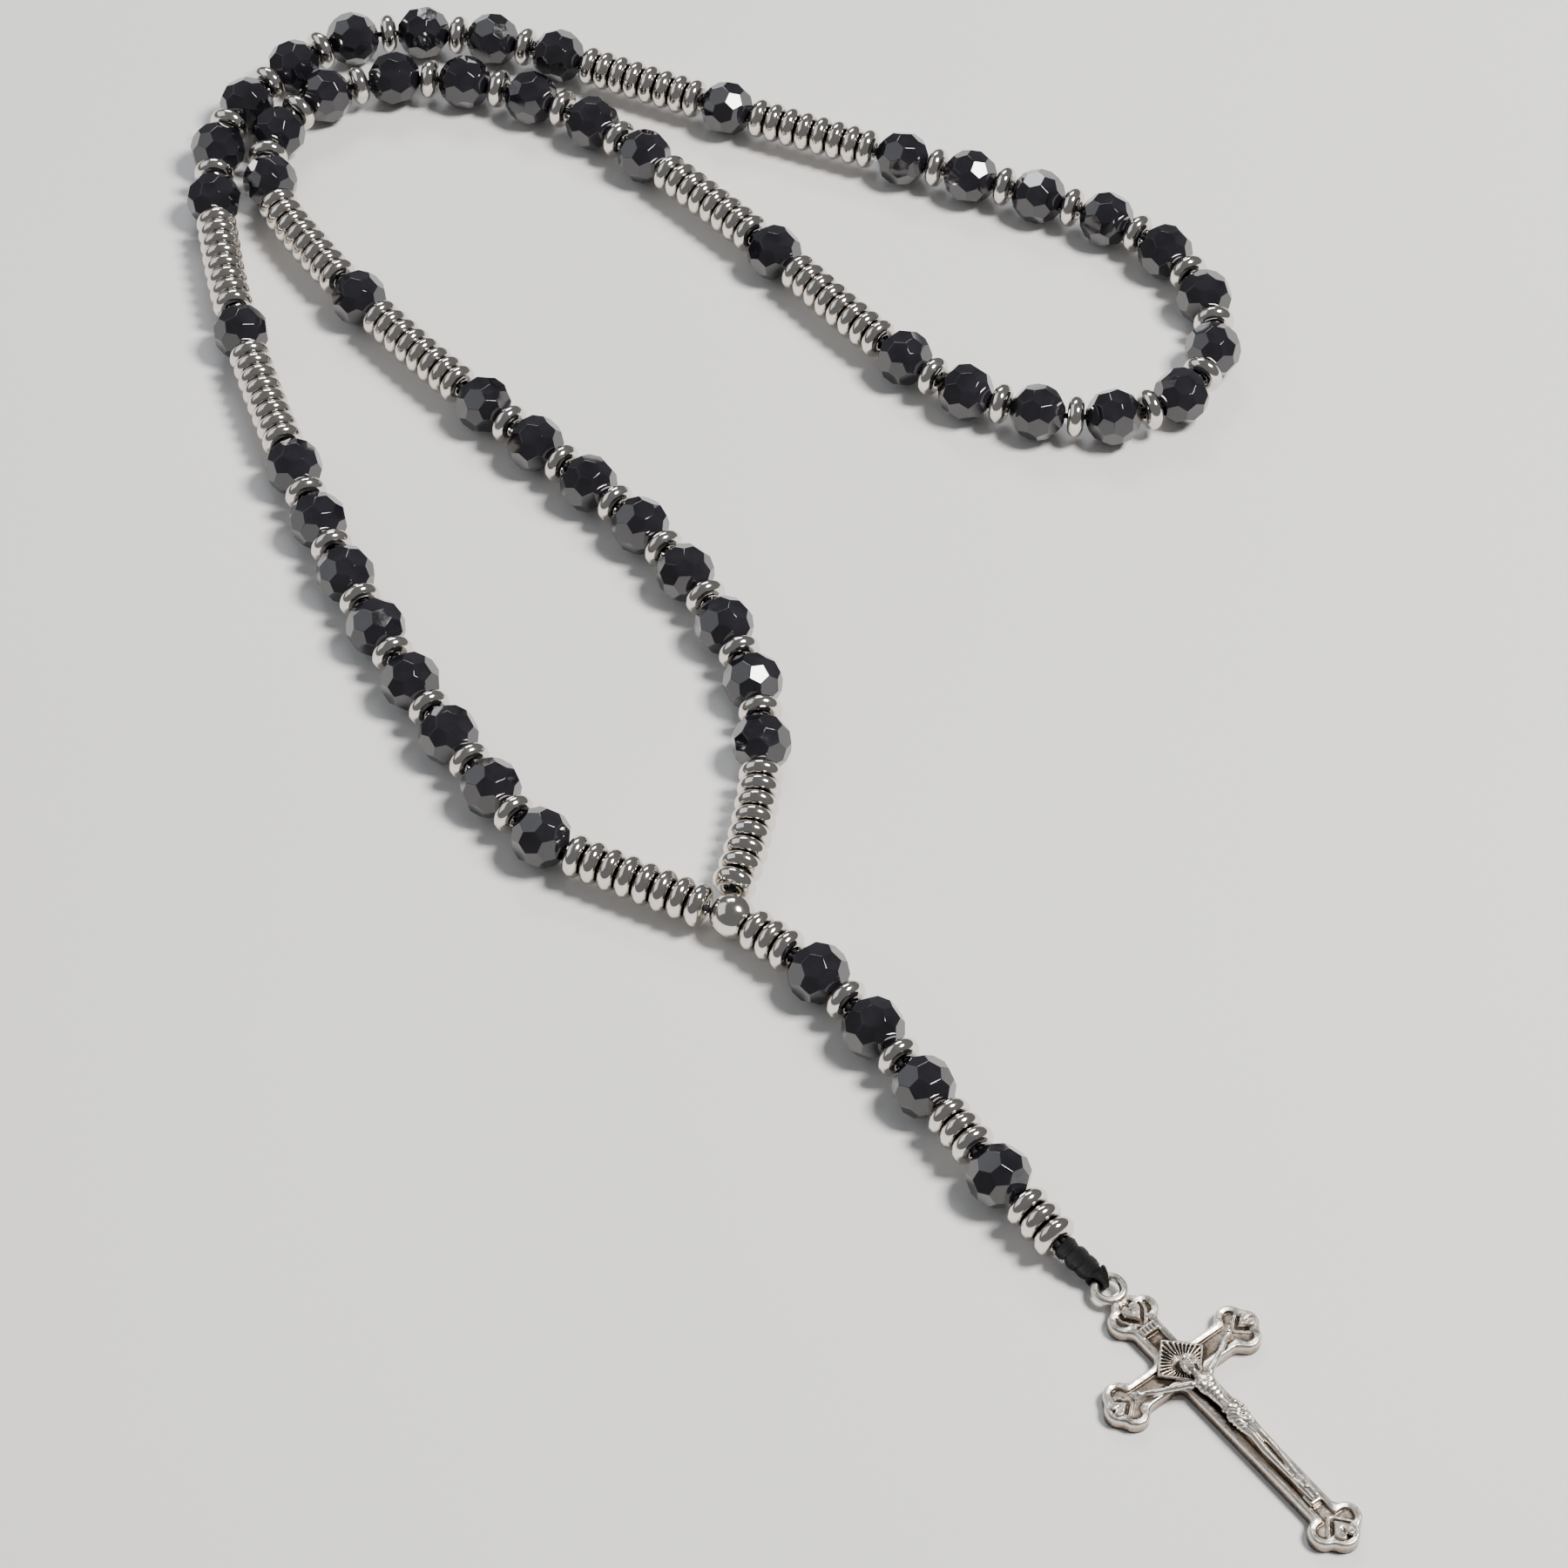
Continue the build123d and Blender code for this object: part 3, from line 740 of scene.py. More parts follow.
def box_distance(x, y, centre_x, centre_y, half_x, half_y):
    dx = np.abs(x - centre_x) - half_x
    dy = np.abs(y - centre_y) - half_y
    outside = np.hypot(np.maximum(dx, 0), np.maximum(dy, 0))
    return outside + np.minimum(np.maximum(dx, dy), 0)


def circle_distance(x, y, centre_x, centre_y, radius):
    return np.hypot(x - centre_x, y - centre_y) - radius


def soft_union(first, second, reach):
    """Two shapes' distances joined with a fillet of about that reach."""
    share = np.clip(0.5 + 0.5 * (second - first) / reach, 0.0, 1.0)
    return second * (1 - share) + first * share - reach * share * (1 - share)


def towards(x, y, turn, rise):
    """A point in the frame of one end: across the beam, and outwards from the crossing."""
    angle = math.radians(turn)
    y = y - rise
    return (x * math.cos(angle) + y * math.sin(angle), y * math.cos(angle) - x * math.sin(angle))


def cross_distance(x, y):
    """How far a point is outside the cross's outline; negative inside."""
    half = 1.83 + 0.0065 * (y + 8.0)
    beam = box_distance(x, y, 0.0, BEAM_MIDDLE, half, BEAM_HALF)
    arms = box_distance(x, y, 0.0, ARM_RISE, *ARM_HALF)
    shape = soft_union(beam, arms, 1.1)
    diamond = (np.abs(x) + np.abs(y - PANEL_RISE) - 4.2) / math.sqrt(2)
    shape = soft_union(shape, diamond, 0.5)
    for end in BEAM_ENDS:
        u, v = towards(x, y, end.turn, end.rise)
        sides = circle_distance(np.abs(u), v, end.spread, end.reach, end.radius)
        lobes = soft_union(sides, circle_distance(u, v, 0.0, end.tip, end.radius), 0.55)
        shape = soft_union(shape, lobes, 0.9)
    neck = box_distance(x, y, 0.0, NECK_PLACE, *NECK_HALF)
    return soft_union(shape, neck, 0.5)


def heart_distance(u, v, radius):
    """How far a point is outside a heart whose tip points towards -v."""
    v = v / 1.18
    half = radius / math.sqrt(2)
    rounds = circle_distance(np.abs(u), v, half, half, radius)
    square = box_distance((u + v) / math.sqrt(2), (v - u) / math.sqrt(2), 0, 0, radius, radius)
    return np.minimum(rounds, square)


def with_hearts(x, y, height, field):
    """Add each end's heart, the dish round it and the border round the dish."""
    for end in BEAM_ENDS:
        u, v = towards(x, y, end.turn, end.rise)
        v = v - end.heart_reach
        away = heart_distance(u, v, end.heart_radius)
        dish = smooth_step(0.0, 0.1, away) * (1 - smooth_step(0.16, 0.28, away))
        border = smooth_step(0.18, 0.34, away) * (1 - smooth_step(0.6, 0.84, away))
        height = height + (BORDER_RISE * border - DISH_DEPTH * dish) * field
        crease = smooth_step(0.22, 0.05, np.abs(u)) * smooth_step(-0.1, 0.5, v)
        raised = smooth_step(-0.02, 0.26, -away) * (1.0 - 0.22 * crease)
        height = np.where(away < 0, np.maximum(height, FIELD_HEIGHT + HEART_RISE * raised), height)
    return height


def inside_panel(x, y):
    """How far a point is inside the square panel that stands on its corner."""
    return (HALF_DIAGONAL - np.abs(x) - np.abs(y - PANEL_RISE)) / math.sqrt(2)


def with_panel(x, y, height):
    """Add the square panel, which is sunk within its border and has rays standing on it."""
    panel = inside_panel(x, y)
    on_panel = smooth_step(0.0, 0.12, panel)
    sunk = smooth_step(0.30, 0.42, panel)
    angle = np.arctan2(y - RAY_ORIGIN, x)
    reach = np.hypot(x, y - RAY_ORIGIN)
    ray = 0.5 + 0.5 * np.cos(RAY_COUNT * angle)
    rays = RAY_RISE * smooth_step(0.30, 0.80, ray) * smooth_step(0.8, 1.4, reach)
    panel_height = PANEL_HEIGHT - PANEL_SINK * sunk + rays * sunk
    return height * (1 - on_panel) + panel_height * on_panel


def with_plaque(x, y, height):
    """Add the small plaque above the figure, with grooves in place of its letters."""
    plaque = -box_distance(x, y, 0.0, PLAQUE_PLACE, *PLAQUE_HALF)
    on_plaque = smooth_step(0.0, 0.1, plaque)
    wave = 0.5 + 0.5 * np.cos((x - 0.2) * 2 * math.pi / GROOVE_STEP)
    groove = smooth_step(0.70, 0.95, wave) * smooth_step(0.16, 0.26, plaque)
    return height * (1 - on_plaque) + (PLAQUE_HEIGHT - GROOVE_DEPTH * groove) * on_plaque


def cross_height(x, y, distance):
    """The top surface's height above the back: rim, field, hearts, panel, plaque and neck."""
    field = smooth_step(RIM_WIDTH, RIM_WIDTH + 0.2, -distance)
    height = RIM_HEIGHT - (RIM_HEIGHT - FIELD_HEIGHT) * field
    height = height - 0.1 * smooth_step(0.3, RIM_WIDTH, -distance) * (1 - field)
    height = with_hearts(x, y, height, field)
    height = with_panel(x, y, height)
    height = with_plaque(x, y, height)
    neck = smooth_step(12.2, 12.7, y) * smooth_step(1.2, 0.7, np.abs(x))
    height = np.maximum(height, 1.4 + 0.55 * neck)
    inner = np.clip((EDGE_ROUNDING + np.minimum(distance, 0)) / EDGE_ROUNDING, 0.0, 1.0)
    return height - EDGE_ROUNDING * (1 - np.sqrt(np.maximum(1 - inner * inner, 0.0)))


def hollow_depth(height):
    """How far each place lies below the mean of what is round it, for the patina in the hollows."""
    total = np.zeros_like(height)
    reach = 6
    steps = range(-reach, reach + 1)
    for dx in steps:
        for dy in steps:
            total += np.roll(height, (dx, dy), axis=(0, 1))
    mean = total / len(steps) ** 2
    return np.clip((mean - height) / 0.22, 0.0, 1.0)


def cross_tarnish_and_shade(x, y, distance, height):
    """How dark each place is: patina in hollows, on the sunk field between the ends and between the
    rays, and painted shade of the figure on the field along the beams away from their ends.
    """
    sunk = smooth_step(0.0, 0.5, (RIM_HEIGHT - height) / (RIM_HEIGHT - FIELD_HEIGHT))
    field = sunk * (distance < -0.5)
    from_end = np.minimum(np.abs(y + 27.0), np.minimum(np.abs(y - 9.6), 12.0))
    from_end = np.where(np.abs(x) > 5.0, np.abs(np.abs(x) - 9.2), from_end)
    # Along the beams away from their ends, where the figure lies, the field is darkened more: painted
    # shade of the figure
    figure_shade_share = smooth_step(2.0, 4.0, from_end)
    between_rays = smooth_step(0.3, 0.5, inside_panel(x, y))
    between_rays = between_rays * np.clip((RAY_TOP - height) / 0.34, 0.0, 1.0)
    tarnish_and_shade = 0.8 * hollow_depth(height) + (0.12 + 0.2 * figure_shade_share) * field + 0.5 * between_rays
    return np.where(distance > -0.12, 0.1, np.clip(tarnish_and_shade, 0.0, 1.0))


# The cell beyond each edge of a cell, in the order of cell_corners
NEIGHBOURS = ((0, -1), (1, 0), (0, 1), (-1, 0))


def cell_corners(i, j):
    return ((i, j), (i + 1, j), (i + 1, j + 1), (i, j + 1))


def outline_edges(cells):
    """The edges of the kept cells that have no kept cell beyond them, as pairs of corners."""
    found = []
    for i, j in np.argwhere(cells):
        corners = cell_corners(i, j)
        for step, (di, dj) in enumerate(NEIGHBOURS):
            if not cells[i + di, j + dj]:
                found.append((corners[step], corners[(step + 1) % 4]))
    return found


def onto_outline(x, y):
    """Points moved down the slope of the distance until they lie on the outline."""
    step = 1e-3
    for repeat in range(3):
        distance = cross_distance(x, y)
        gx = (cross_distance(x + step, y) - cross_distance(x - step, y)) / (2 * step)
        gy = (cross_distance(x, y + step) - cross_distance(x, y - step)) / (2 * step)
        size = np.maximum(gx * gx + gy * gy, 1e-6)
        x = x - gx * distance / size
        y = y - gy * distance / size
    return x, y


def even_outline(x, y, edges):
    """Move the edge points out to the outline and space them evenly along it."""
    after = dict(edges)
    before = {b: a for a, b in edges}
    order = {place: number for number, place in enumerate(after)}
    rows, columns = np.array(list(order)).T
    ahead = np.array([order[after[place]] for place in order])
    behind = np.array([order[before[place]] for place in order])
    px, py = onto_outline(x[rows, columns], y[rows, columns])
    for repeat in range(12):
        px = 0.5 * px + 0.25 * (px[ahead] + px[behind])
        py = 0.5 * py + 0.25 * (py[ahead] + py[behind])
        px, py = onto_outline(px, py)
    x[rows, columns] = px
    y[rows, columns] = py


def cross_grid():
    """The grid's points, the cells that are kept and their outer edges, moved to the outline."""
    xs = np.arange(-12.6, 12.6, GRID_STEP)
    ys = np.arange(-30.6, 13.8, GRID_STEP)
    x, y = np.meshgrid(xs, ys, indexing="ij")
    inside = cross_distance(x, y) < -0.25 * GRID_STEP
    cells = inside[:-1, :-1] & inside[1:, :-1] & inside[:-1, 1:] & inside[1:, 1:]
    edges = outline_edges(cells)
    even_outline(x, y, edges)
    return x, y, np.argwhere(cells), edges


# The heights of the rows of points down the cross's walls, as shares of the whole
WALL_SHARES = (0.66, 0.2)
CAST_WOBBLE = 0.012


def add_cast(bm):
    """The cross as one closed skin, with its relief on top and a flat back."""
    x, y, cells, edges = cross_grid()
    distance = cross_distance(x, y)
    height = cross_height(x, y, distance)
    tarnish_and_shade = cross_tarnish_and_shade(x, y, distance, height)
    layer = bm.verts.layers.float.new("tarnish_and_shade")
    top, back = {}, {}
    walls = [{} for share in WALL_SHARES]
    used = {corner for i, j in cells for corner in cell_corners(i, j)}
    for i, j in sorted(used):
        px, py = x[i, j], y[i, j]
        rough = CAST_WOBBLE * math.sin(px * 5.1 + 1.7 * py) * math.cos(py * 4.3)
        top[i, j] = bm.verts.new(Vector((px, py, height[i, j] + rough)) * MM)
        top[i, j][layer] = tarnish_and_shade[i, j]
        back[i, j] = bm.verts.new(Vector((px, py, 0.0)) * MM)
        back[i, j][layer] = 0.5
    for corner, _ in edges:
        for wall, share in zip(walls, WALL_SHARES):
            place = (x[corner], y[corner], height[corner] * share)
            wall[corner] = bm.verts.new(Vector(place) * MM)
            # The walls get darker towards the back
            wall[corner][layer] = 0.45 - 0.2 * share
    for i, j in cells:
        corners = cell_corners(i, j)
        bm.faces.new([top[corner] for corner in corners])
        bm.faces.new([back[corner] for corner in reversed(corners)])
    rows = [top, *walls, back]
    for a, b in edges:
        for upper, lower in zip(rows, rows[1:]):
            bm.faces.new((upper[b], upper[a], lower[a], lower[b]))


def add_eye(bm):
    """The ring of wire at the cross's head."""
    steps = 40
    ring = []
    for step in range(steps):
        angle = 2 * math.pi * step / steps
        ring.append(Vector((math.cos(angle) * EYE_RADIUS, math.sin(angle) * EYE_RADIUS + EYE_CENTRE,
                            EYE_HEIGHT)) * MM)
    wire = [(EYE_WIRE + 0.02 * math.sin(3 * step)) * MM for step in range(steps)]
    add_tube(bm, ring, wire, 16, closed=True)


def build_cross():
    bm = bmesh.new()
    add_cast(bm)
    add_eye(bm)
    bmesh.ops.recalc_face_normals(bm, faces=bm.faces[:])
    bmesh.ops.transform(bm, matrix=CROSS, verts=bm.verts[:])
    obj = mesh_object("crucifix_cross_cast", bm, ANTIQUE)
    finish_piece(obj, "crucifix_cross", "crucifix")


# ---- The figure ----
def put_in_place(bm, verts, centre, size, turn=None):
    """Scale newly made vertices to a size, turn them and move them to a centre."""
    matrix = Matrix.Diagonal((*size, 1.0))
    if turn is not None:
        matrix = turn.to_4x4() @ matrix
    bmesh.ops.transform(bm, matrix=Matrix.Translation(Vector(centre)) @ matrix, verts=verts)


def add_ellipsoid(bm, centre, radii, turn=None, subdivisions=4):
    made = bmesh.ops.create_icosphere(bm, subdivisions=subdivisions, radius=1.0)
    put_in_place(bm, made["verts"], centre, radii, turn)


def add_limb(bm, points, radii):
    """A limb through points, rounded at both ends."""
    dense, widths = [], []
    steps = 10
    for index in range(len(points) - 1):
        a, b = Vector(points[index]), Vector(points[index + 1])
        for step in range(steps):
            share = step / steps
            dense.append(a.lerp(b, share))
            widths.append(radii[index] * (1 - share) + radii[index + 1] * share)
    dense.append(Vector(points[-1]))
    widths.append(radii[-1])
    add_tube(bm, dense, widths, 20)
    for point, radius in ((points[0], radii[0]), (points[-1], radii[-1])):
        add_ellipsoid(bm, point, (radius, radius, radius))


HEAD = Vector((0.05, -0.45, 3.2))
NOD = Matrix.Rotation(math.radians(-32), 3, "X") @ Matrix.Rotation(math.radians(-14), 3, "Z")
THORNS = 22
THIGH = (0.62, 0.56, 0.46)
SHIN = (0.46, 0.46, 0.29)
FOOT = (0.31, 0.42, 0.34)
SKIN_VOXEL = 0.085
RIBS = (-6.6, -3.6)
RIB_STEP = 0.62
CLOTH = (-11.3, -7.7)
FOLD_STEP = 0.8
HAIR_REACH = 1.75
CHIN = -2.4
FIGURE_BASE = 1.45
NAILS = ((7.1, 0.38, 2.58), (-7.1, 0.38, 2.58), (-0.05, -21.2, 3.28))
NAIL_HEAD = (0.27, 0.27, 0.14)
FOOT_BLOCK = (1.8, 1.7, 1.0)
FOOT_BLOCK_PLACE = (0, -22.3, 1.75)


def on_head(x, y, z):
    """A place given in the nodding head's own frame."""
    return HEAD + NOD @ Vector((x, y, z))


def add_head(bm):
    """Skull, hair, beard, nose and brow, then the cheeks and the locks beside them."""
    add_ellipsoid(bm, HEAD, (0.74, 0.95, 0.86), NOD)
    add_ellipsoid(bm, on_head(0, 0.35, -0.25), (1.02, 1.05, 0.9), NOD)
    add_ellipsoid(bm, on_head(0, -0.80, 0.30), (0.40, 0.42, 0.42), NOD)
    add_ellipsoid(bm, on_head(0, -0.05, 0.86), (0.12, 0.27, 0.20), NOD)
    add_ellipsoid(bm, on_head(0, 0.30, 0.70), (0.52, 0.12, 0.16), NOD)
    for side in (-1, 1):
        add_ellipsoid(bm, on_head(side * 0.34, -0.15, 0.62), (0.2, 0.2, 0.16), NOD)
        add_limb(bm, [on_head(side * 0.75, 0.3, 0.1), on_head(side * 0.88, -0.6, -0.1),
                      on_head(side * 0.75, -1.35, -0.35)], [0.3, 0.34, 0.2])


def add_torso(bm):
    """Neck, chest, waist and hips."""
    add_limb(bm, [HEAD + Vector((0, -0.5, -0.3)), Vector((0.0, -2.5, 2.75))], [0.5, 0.62])
    add_ellipsoid(bm, (0.0, -3.7, 2.75), (1.24, 1.75, 0.86))
    for side in (-1, 1):
        add_ellipsoid(bm, (side * 0.56, -3.4, 3.12), (0.66, 0.68, 0.52))
    add_limb(bm, [(0.0, -4.4, 2.7), (0.0, -6.6, 2.6), (0.0, -8.6, 2.7)], [0.96, 0.72, 0.86])
    add_ellipsoid(bm, (0.0, -8.8, 2.72), (1.08, 1.05, 0.86))


def add_arms(bm):
    """Shoulders, arms, palms and fingers."""
    for side in (-1, 1):
        add_ellipsoid(bm, (side * 1.42, -2.7, 2.7), (0.54, 0.5, 0.52))
        add_limb(bm, [(side * 1.5, -2.55, 2.7), (side * 3.0, -1.85, 2.6), (side * 4.3, -1.2, 2.45),
                      (side * 5.5, -0.55, 2.35), (side * 6.6, 0.1, 2.2)],
                 [0.46, 0.42, 0.33, 0.37, 0.25])
        add_limb(bm, [(side * 6.5, 0.05, 2.2), (side * 7.15, 0.4, 2.2)], [0.28, 0.36])
        for finger in range(4):
            spread = (finger - 1.5) * 0.24
            add_limb(bm, [(side * 7.2, 0.4 + spread * 0.5, 2.25),
                          (side * 7.75, 0.62 + spread, 2.2)], [0.16, 0.12])


def add_legs(bm):
    """Each leg's thigh and shin, then the feet, one above the other."""
    add_limb(bm, [(-0.54, -9.3, 2.7), (-0.6, -10.8, 3.0), (-0.46, -12.3, 3.2)], THIGH)
    add_limb(bm, [(-0.46, -12.3, 3.2), (-0.56, -14.6, 2.95), (-0.40, -19.4, 2.6)], SHIN)
    add_limb(bm, [(0.54, -9.3, 2.7), (0.6, -10.9, 3.1), (0.46, -12.4, 3.3)], THIGH)
    add_limb(bm, [(0.46, -12.4, 3.3), (0.56, -14.8, 3.0), (0.30, -19.4, 2.7)], SHIN)
    add_limb(bm, [(-0.42, -19.4, 2.6), (-0.36, -20.3, 2.75), (-0.32, -22.5, 2.65)], FOOT)
    add_limb(bm, [(0.30, -19.4, 2.7), (0.26, -20.3, 2.95), (0.2, -22.6, 2.9)], FOOT)


def add_cloth(bm):
    """The cloth's roll round the hips, its hanging end and the fold across its front."""
    add_limb(bm, [(-0.9, -7.7, 2.95), (0.0, -7.6, 3.35), (0.95, -7.4, 3.0)], [0.24, 0.24, 0.28])
    add_limb(bm, [(1.0, -7.5, 3.0), (1.32, -8.6, 2.8), (1.25, -10.0, 2.6)], [0.3, 0.32, 0.22])
    add_limb(bm, [(-0.9, -8.9, 2.8), (-0.35, -9.8, 3.12), (0.6, -10.1, 3.15)], [0.38, 0.5, 0.38])


def add_crown(bm):
    band = []
    for step in range(THORNS):
        angle = 2 * math.pi * step / THORNS
        band.append(on_head(0.92 * math.cos(angle), 0.42 + 0.10 * math.sin(angle * 5),
                            0.05 + 0.92 * math.sin(angle)))
    add_tube(bm, band, 0.15, 8, closed=True)


def fuse_skin(obj):
    """Replace the object's overlapping parts with one closed skin round all of them."""
    remesh = obj.modifiers.new("skin", "REMESH")
    remesh.mode = "VOXEL"
    remesh.voxel_size = SKIN_VOXEL * MM
    bpy.context.view_layer.update()
    depsgraph = bpy.context.evaluated_depsgraph_get()
    skin = bpy.data.meshes.new_from_object(obj.evaluated_get(depsgraph))
    obj.modifiers.clear()
    parts = obj.data
    obj.data = skin
    bpy.data.meshes.remove(parts)


def span_fade(y, span, low_run, high_run):
    """1 within the span, falling to 0 at its two ends."""
    return min(1.0, (y - span[0]) / low_run, (span[1] - y) / high_run)


def figure_relief(point):
    """How far the ribs, the cloth's folds and the hair lift the skin at a point."""
    x, y, z = point
    lift = 0.0
    if RIBS[0] < y < RIBS[1] and z > 2.6:
        fade = span_fade(y, RIBS, 0.8, 0.5) * min(1.0, abs(x) / 0.35)
        lift += 0.07 * fade * math.sin((y + 0.35 * abs(x)) * 2 * math.pi / RIB_STEP)
    if CLOTH[0] < y < CLOTH[1]:
        fade = span_fade(y, CLOTH, 0.7, 0.5)
        across_folds = 0.75 * x + 1.25 * y + 0.5 * math.sin(x * 2.1)
        lift += 0.075 * fade * math.sin(across_folds * 2 * math.pi / FOLD_STEP)
    local = NOD.inverted() @ (point - HEAD)
    off_face = local.z < 0.15 or local.y > 0.5 or local.y < -0.62
    if local.length < HAIR_REACH and off_face and y > CHIN:
        lift += 0.05 * math.sin(local.x * 9.0 + math.sin(local.y * 4.0) * 2.2)
    return lift


def add_nails(bm):
    for place in NAILS:
        add_ellipsoid(bm, Vector(place) * MM, Vector(NAIL_HEAD) * MM, subdivisions=3)


def add_foot_block(bm):
    made = bmesh.ops.create_cube(bm, size=1.0)["verts"]
    put_in_place(bm, made, Vector(FOOT_BLOCK_PLACE) * MM, Vector(FOOT_BLOCK) * MM)
    edges = dict.fromkeys(edge for vertex in made for edge in vertex.link_edges)
    bmesh.ops.bevel(bm, geom=list(edges), offset=0.34 * MM, segments=4, affect="EDGES",
                    profile=0.6)


def build_figure():
    """A plain textbook figure in the attitude of the cast one, with its nails and foot block."""
    bm = bmesh.new()
    for add_part in (add_head, add_torso, add_arms, add_legs, add_cloth, add_crown):
        add_part(bm)
    bmesh.ops.scale(bm, vec=(MM, MM, MM), verts=bm.verts[:])
    obj = mesh_object("crucifix_figure", bm)
    fuse_skin(obj)
    bm = bmesh.new()
    bm.from_mesh(obj.data)
    for repeat in range(2):
        bmesh.ops.smooth_vert(bm, verts=bm.verts[:], factor=0.5, use_axis_x=True, use_axis_y=True,
                              use_axis_z=True)
    for vertex in bm.verts:
        vertex.co += vertex.normal * figure_relief(vertex.co / MM) * MM
        vertex.co.z = max(vertex.co.z, FIGURE_BASE * MM)
    add_nails(bm)
    add_foot_block(bm)
    bmesh.ops.transform(bm, matrix=CROSS, verts=bm.verts[:])
    for face in bm.faces:
        face.smooth = True
    bm.to_mesh(obj.data)
    bm.free()
    obj.data.materials.clear()
    obj.data.materials.append(ANTIQUE)
    finish_piece(obj, "crucifix_corpus", "crucifix")


# ---- The wrapped knot ----
# The last number is the grey of the strands' painted highlights
KNOT_BLACK = black_thread("knot_thread", 2.0, 1.0, 0.011)
KNOT_THREAD = 0.16
KNOT_TURNS = 19
POINTS_PER_TURN = 26
CORE_STEPS = 30
LOOP_STRANDS = 7
LOOP_THREAD = 0.22
LOOP_TURN = 0.14
# How far the barrel starts before the cord's end, and how much shorter it is than the way from
# there to the eye's wire
KNOT_START = 0.22
KNOT_GAP = 0.68
# The barrel's radius at each share of its length: three bumps, with a waist between each two
KNOT_PROFILE = [(0.0, 1.12), (0.05, 1.38), (0.14, 1.46), (0.23, 1.30), (0.27, 1.10), (0.32, 1.28),
                (0.42, 1.48), (0.54, 1.46), (0.61, 1.36), (0.65, 1.28), (0.71, 1.40), (0.82, 1.42),
                (0.91, 1.28), (1.0, 1.02)]


def knot_radius(share):
    for (s0, r0), (s1, r1) in zip(KNOT_PROFILE, KNOT_PROFILE[1:]):
        if s0 <= share <= s1:
            t = (share - s0) / (s1 - s0)
            t = t * t * (3 - 2 * t)
            return r0 * (1 - t) + r1 * t
    return KNOT_PROFILE[-1][1]


def add_barrel(bm, begin, ahead, length):
    """A core with one thread wound round it to each hand."""
    side = ahead.cross(UP).normalized()
    up = side.cross(ahead)
    core = [begin + ahead * length * k / CORE_STEPS for k in range(CORE_STEPS + 1)]
    radii = [(knot_radius(k / CORE_STEPS) - 0.12) * MM for k in range(CORE_STEPS + 1)]
    add_tube(bm, core, radii, 20)
    steps = KNOT_TURNS * POINTS_PER_TURN
    for hand, lift in ((1, 0.0), (-1, 0.03)):
        points = []
        for k in range(steps + 1):
            share = k / steps
            angle = hand * 2 * math.pi * k / POINTS_PER_TURN
            slant = 0.012 * math.sin(angle * 2 + share * 9)
            radius = (knot_radius(share) - 0.06 + lift) * MM
            along = 0.02 + 0.96 * share + slant
            around = side * math.cos(angle) + up * math.sin(angle)
            points.append(begin + ahead * length * along + around * radius)
        add_thread(bm, points, KNOT_THREAD, 7)


def add_wire_loops(bm, eye_centre, outward):
    """The strands round the eye's wire, side by side, the outer ones wider."""
    steps = 40
    for strand in range(LOOP_STRANDS):
        spread = (strand - LOOP_STRANDS // 2) * LOOP_TURN
        radial = Matrix.Rotation(spread, 3, "Z") @ outward
        drop = EYE_RADIUS * (1 - math.cos(spread))
        wire = eye_centre + (radial * EYE_RADIUS + outward * 0.43 * drop) * MM
        points = []
        for k in range(steps):
            angle = 2 * math.pi * k / steps
            around = radial * math.cos(angle) + UP * math.sin(angle)
            swell = 0.90 + 1.06 * drop + 0.34 * abs(spread) + 0.03 * math.sin(2 * angle + strand * 2.3)
            points.append(wire + around * swell * MM)
        add_thread(bm, points, LOOP_THREAD, 9, closed=True)


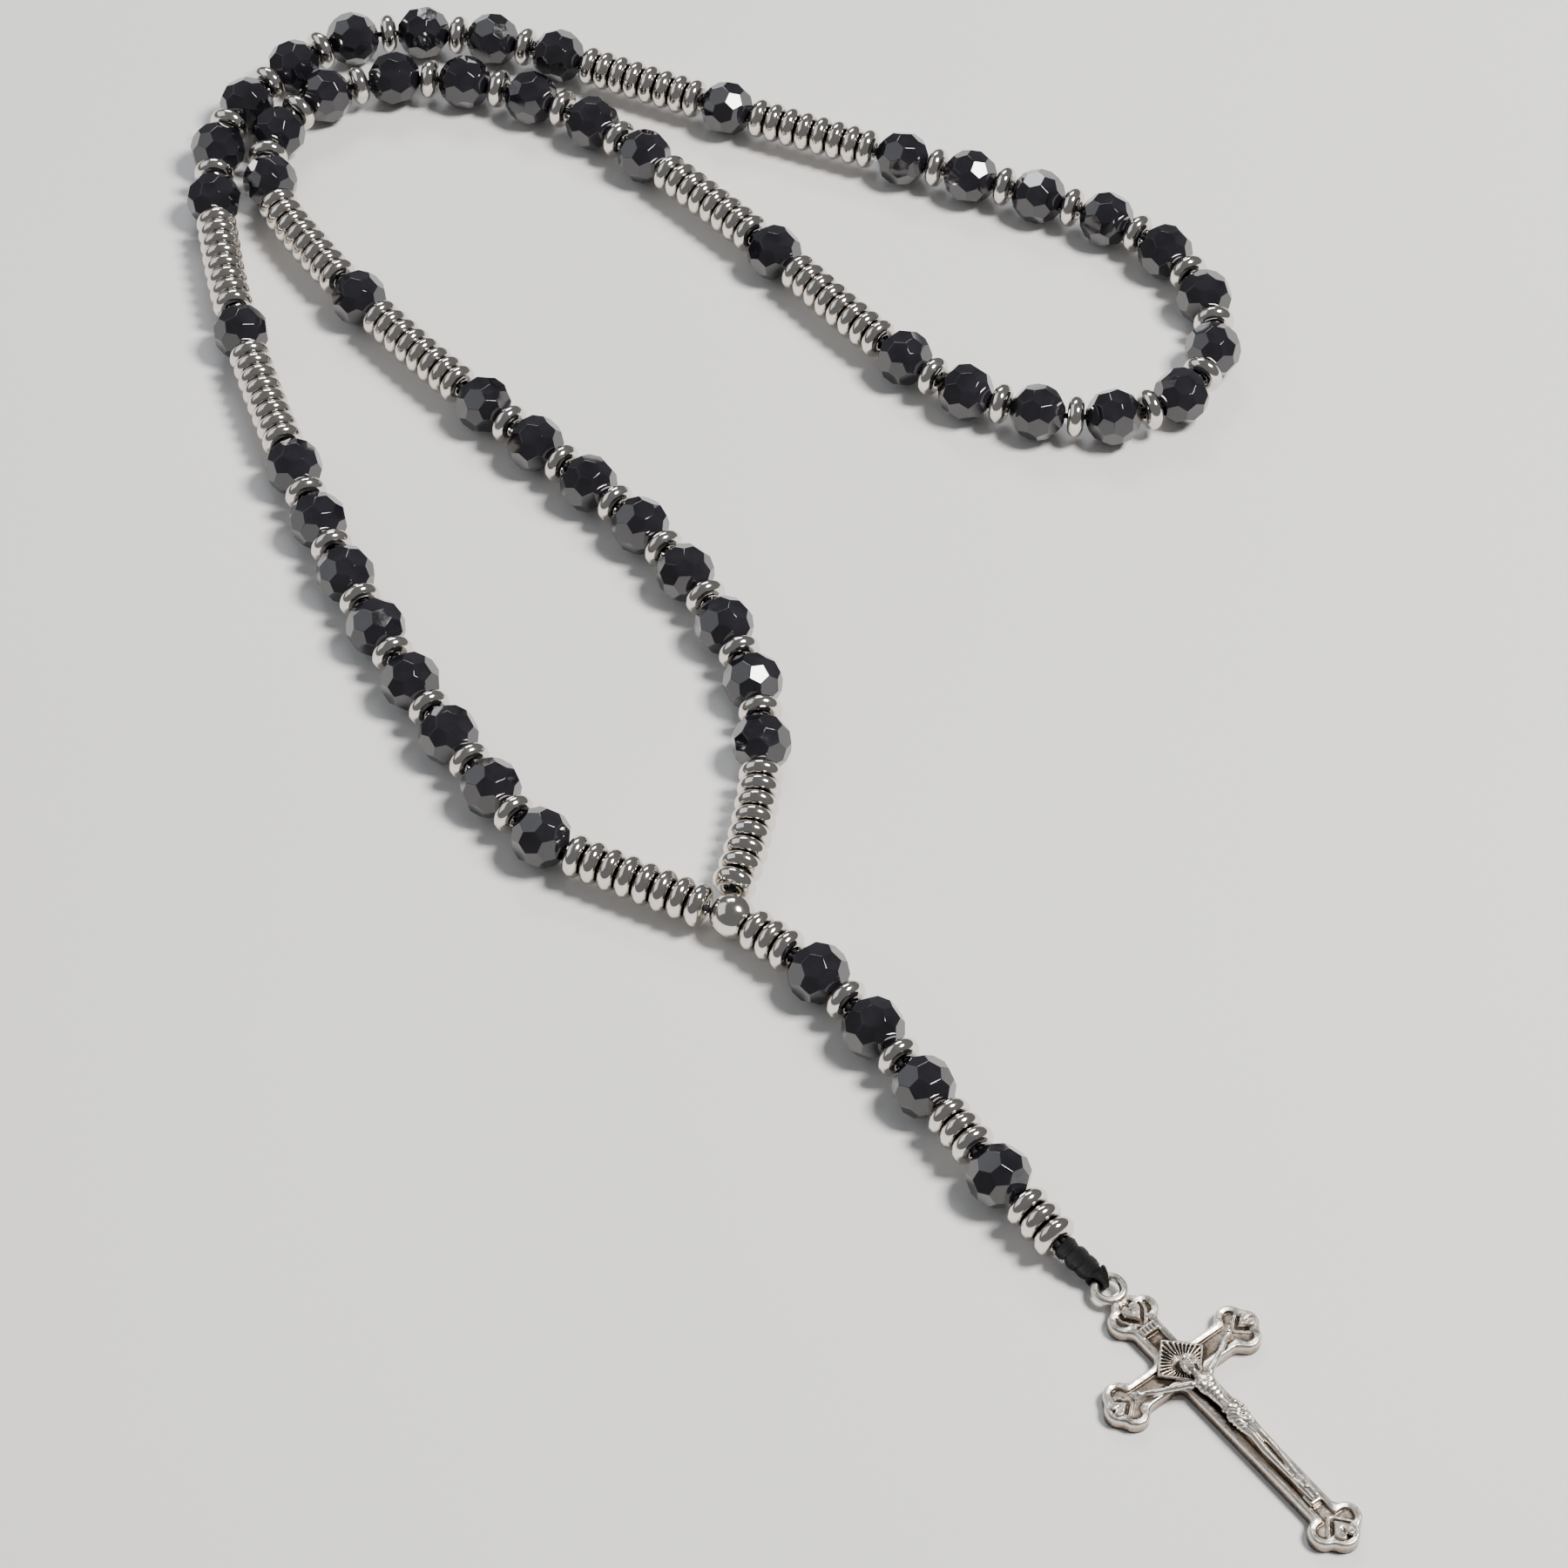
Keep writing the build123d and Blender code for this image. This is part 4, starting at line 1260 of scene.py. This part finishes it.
def build_knot():
    """The wound barrel from the cord's end to the eye, and its loop round the eye's wire."""
    start = CORD_PATH.at(0.0).lerp(CORD_PATH.at(CORD_PATH.length), 0.5)
    eye_centre = CROSS @ Vector((0, EYE_CENTRE * MM, EYE_HEIGHT * MM))
    eye_top = CROSS @ Vector((0, (EYE_CENTRE + EYE_RADIUS) * MM, EYE_HEIGHT * MM))
    reach = eye_top - start
    ahead = reach.normalized()
    bm = bmesh.new()
    add_barrel(bm, start - ahead * KNOT_START * MM, ahead, reach.length - KNOT_GAP * MM)
    add_wire_loops(bm, eye_centre, (eye_top - eye_centre).normalized())
    bmesh.ops.recalc_face_normals(bm, faces=bm.faces[:])
    obj = mesh_object("wrapped_knot_wound", bm, KNOT_BLACK)
    finish_piece(obj, "wrapped_knot", "wrapped_knot")


build_cross()
build_figure()
build_knot()


# ---- Floor and lights ----
def build_stage():
    bm = bmesh.new()
    bmesh.ops.create_grid(bm, x_segments=8, y_segments=8, size=3.0)
    floor = mesh_object("floor", bm, floor_material())
    floor.location = (0, 0, -0.0001)


# Each lamp's name, place, size, power and colour; all of them point at the origin
LAMPS = [
    ("key", (0.50, -0.02, 0.86), (0.26, 0.26), 19.0, (1.0, 0.97, 0.93)),
    ("back", (-0.12, 0.86, 0.76), (0.5, 0.3), 5.5, (0.95, 0.97, 1.0)),
    ("fill", (-0.9, 0.2, 0.7), (1.2, 0.8), 3.0, (0.93, 0.96, 1.0)),
]


def build_lights():
    for name, place, size, power, colour in LAMPS:
        data = bpy.data.lights.new(name, "AREA")
        data.shape = "RECTANGLE"
        data.size, data.size_y = size
        data.energy = power
        data.color = colour
        lamp = bpy.data.objects.new(name, data)
        scene.collection.objects.link(lamp)
        lamp.location = place
        lamp.rotation_mode = "QUATERNION"
        lamp.rotation_quaternion = (-Vector(place)).to_track_quat("-Z", "Y")
    world = bpy.data.worlds.new("studio")
    world.use_nodes = True
    background = world.node_tree.nodes["Background"]
    background.inputs["Color"].default_value = (0.9, 0.92, 0.95, 1.0)
    background.inputs["Strength"].default_value = 0.19
    scene.world = world


build_stage()
build_lights()
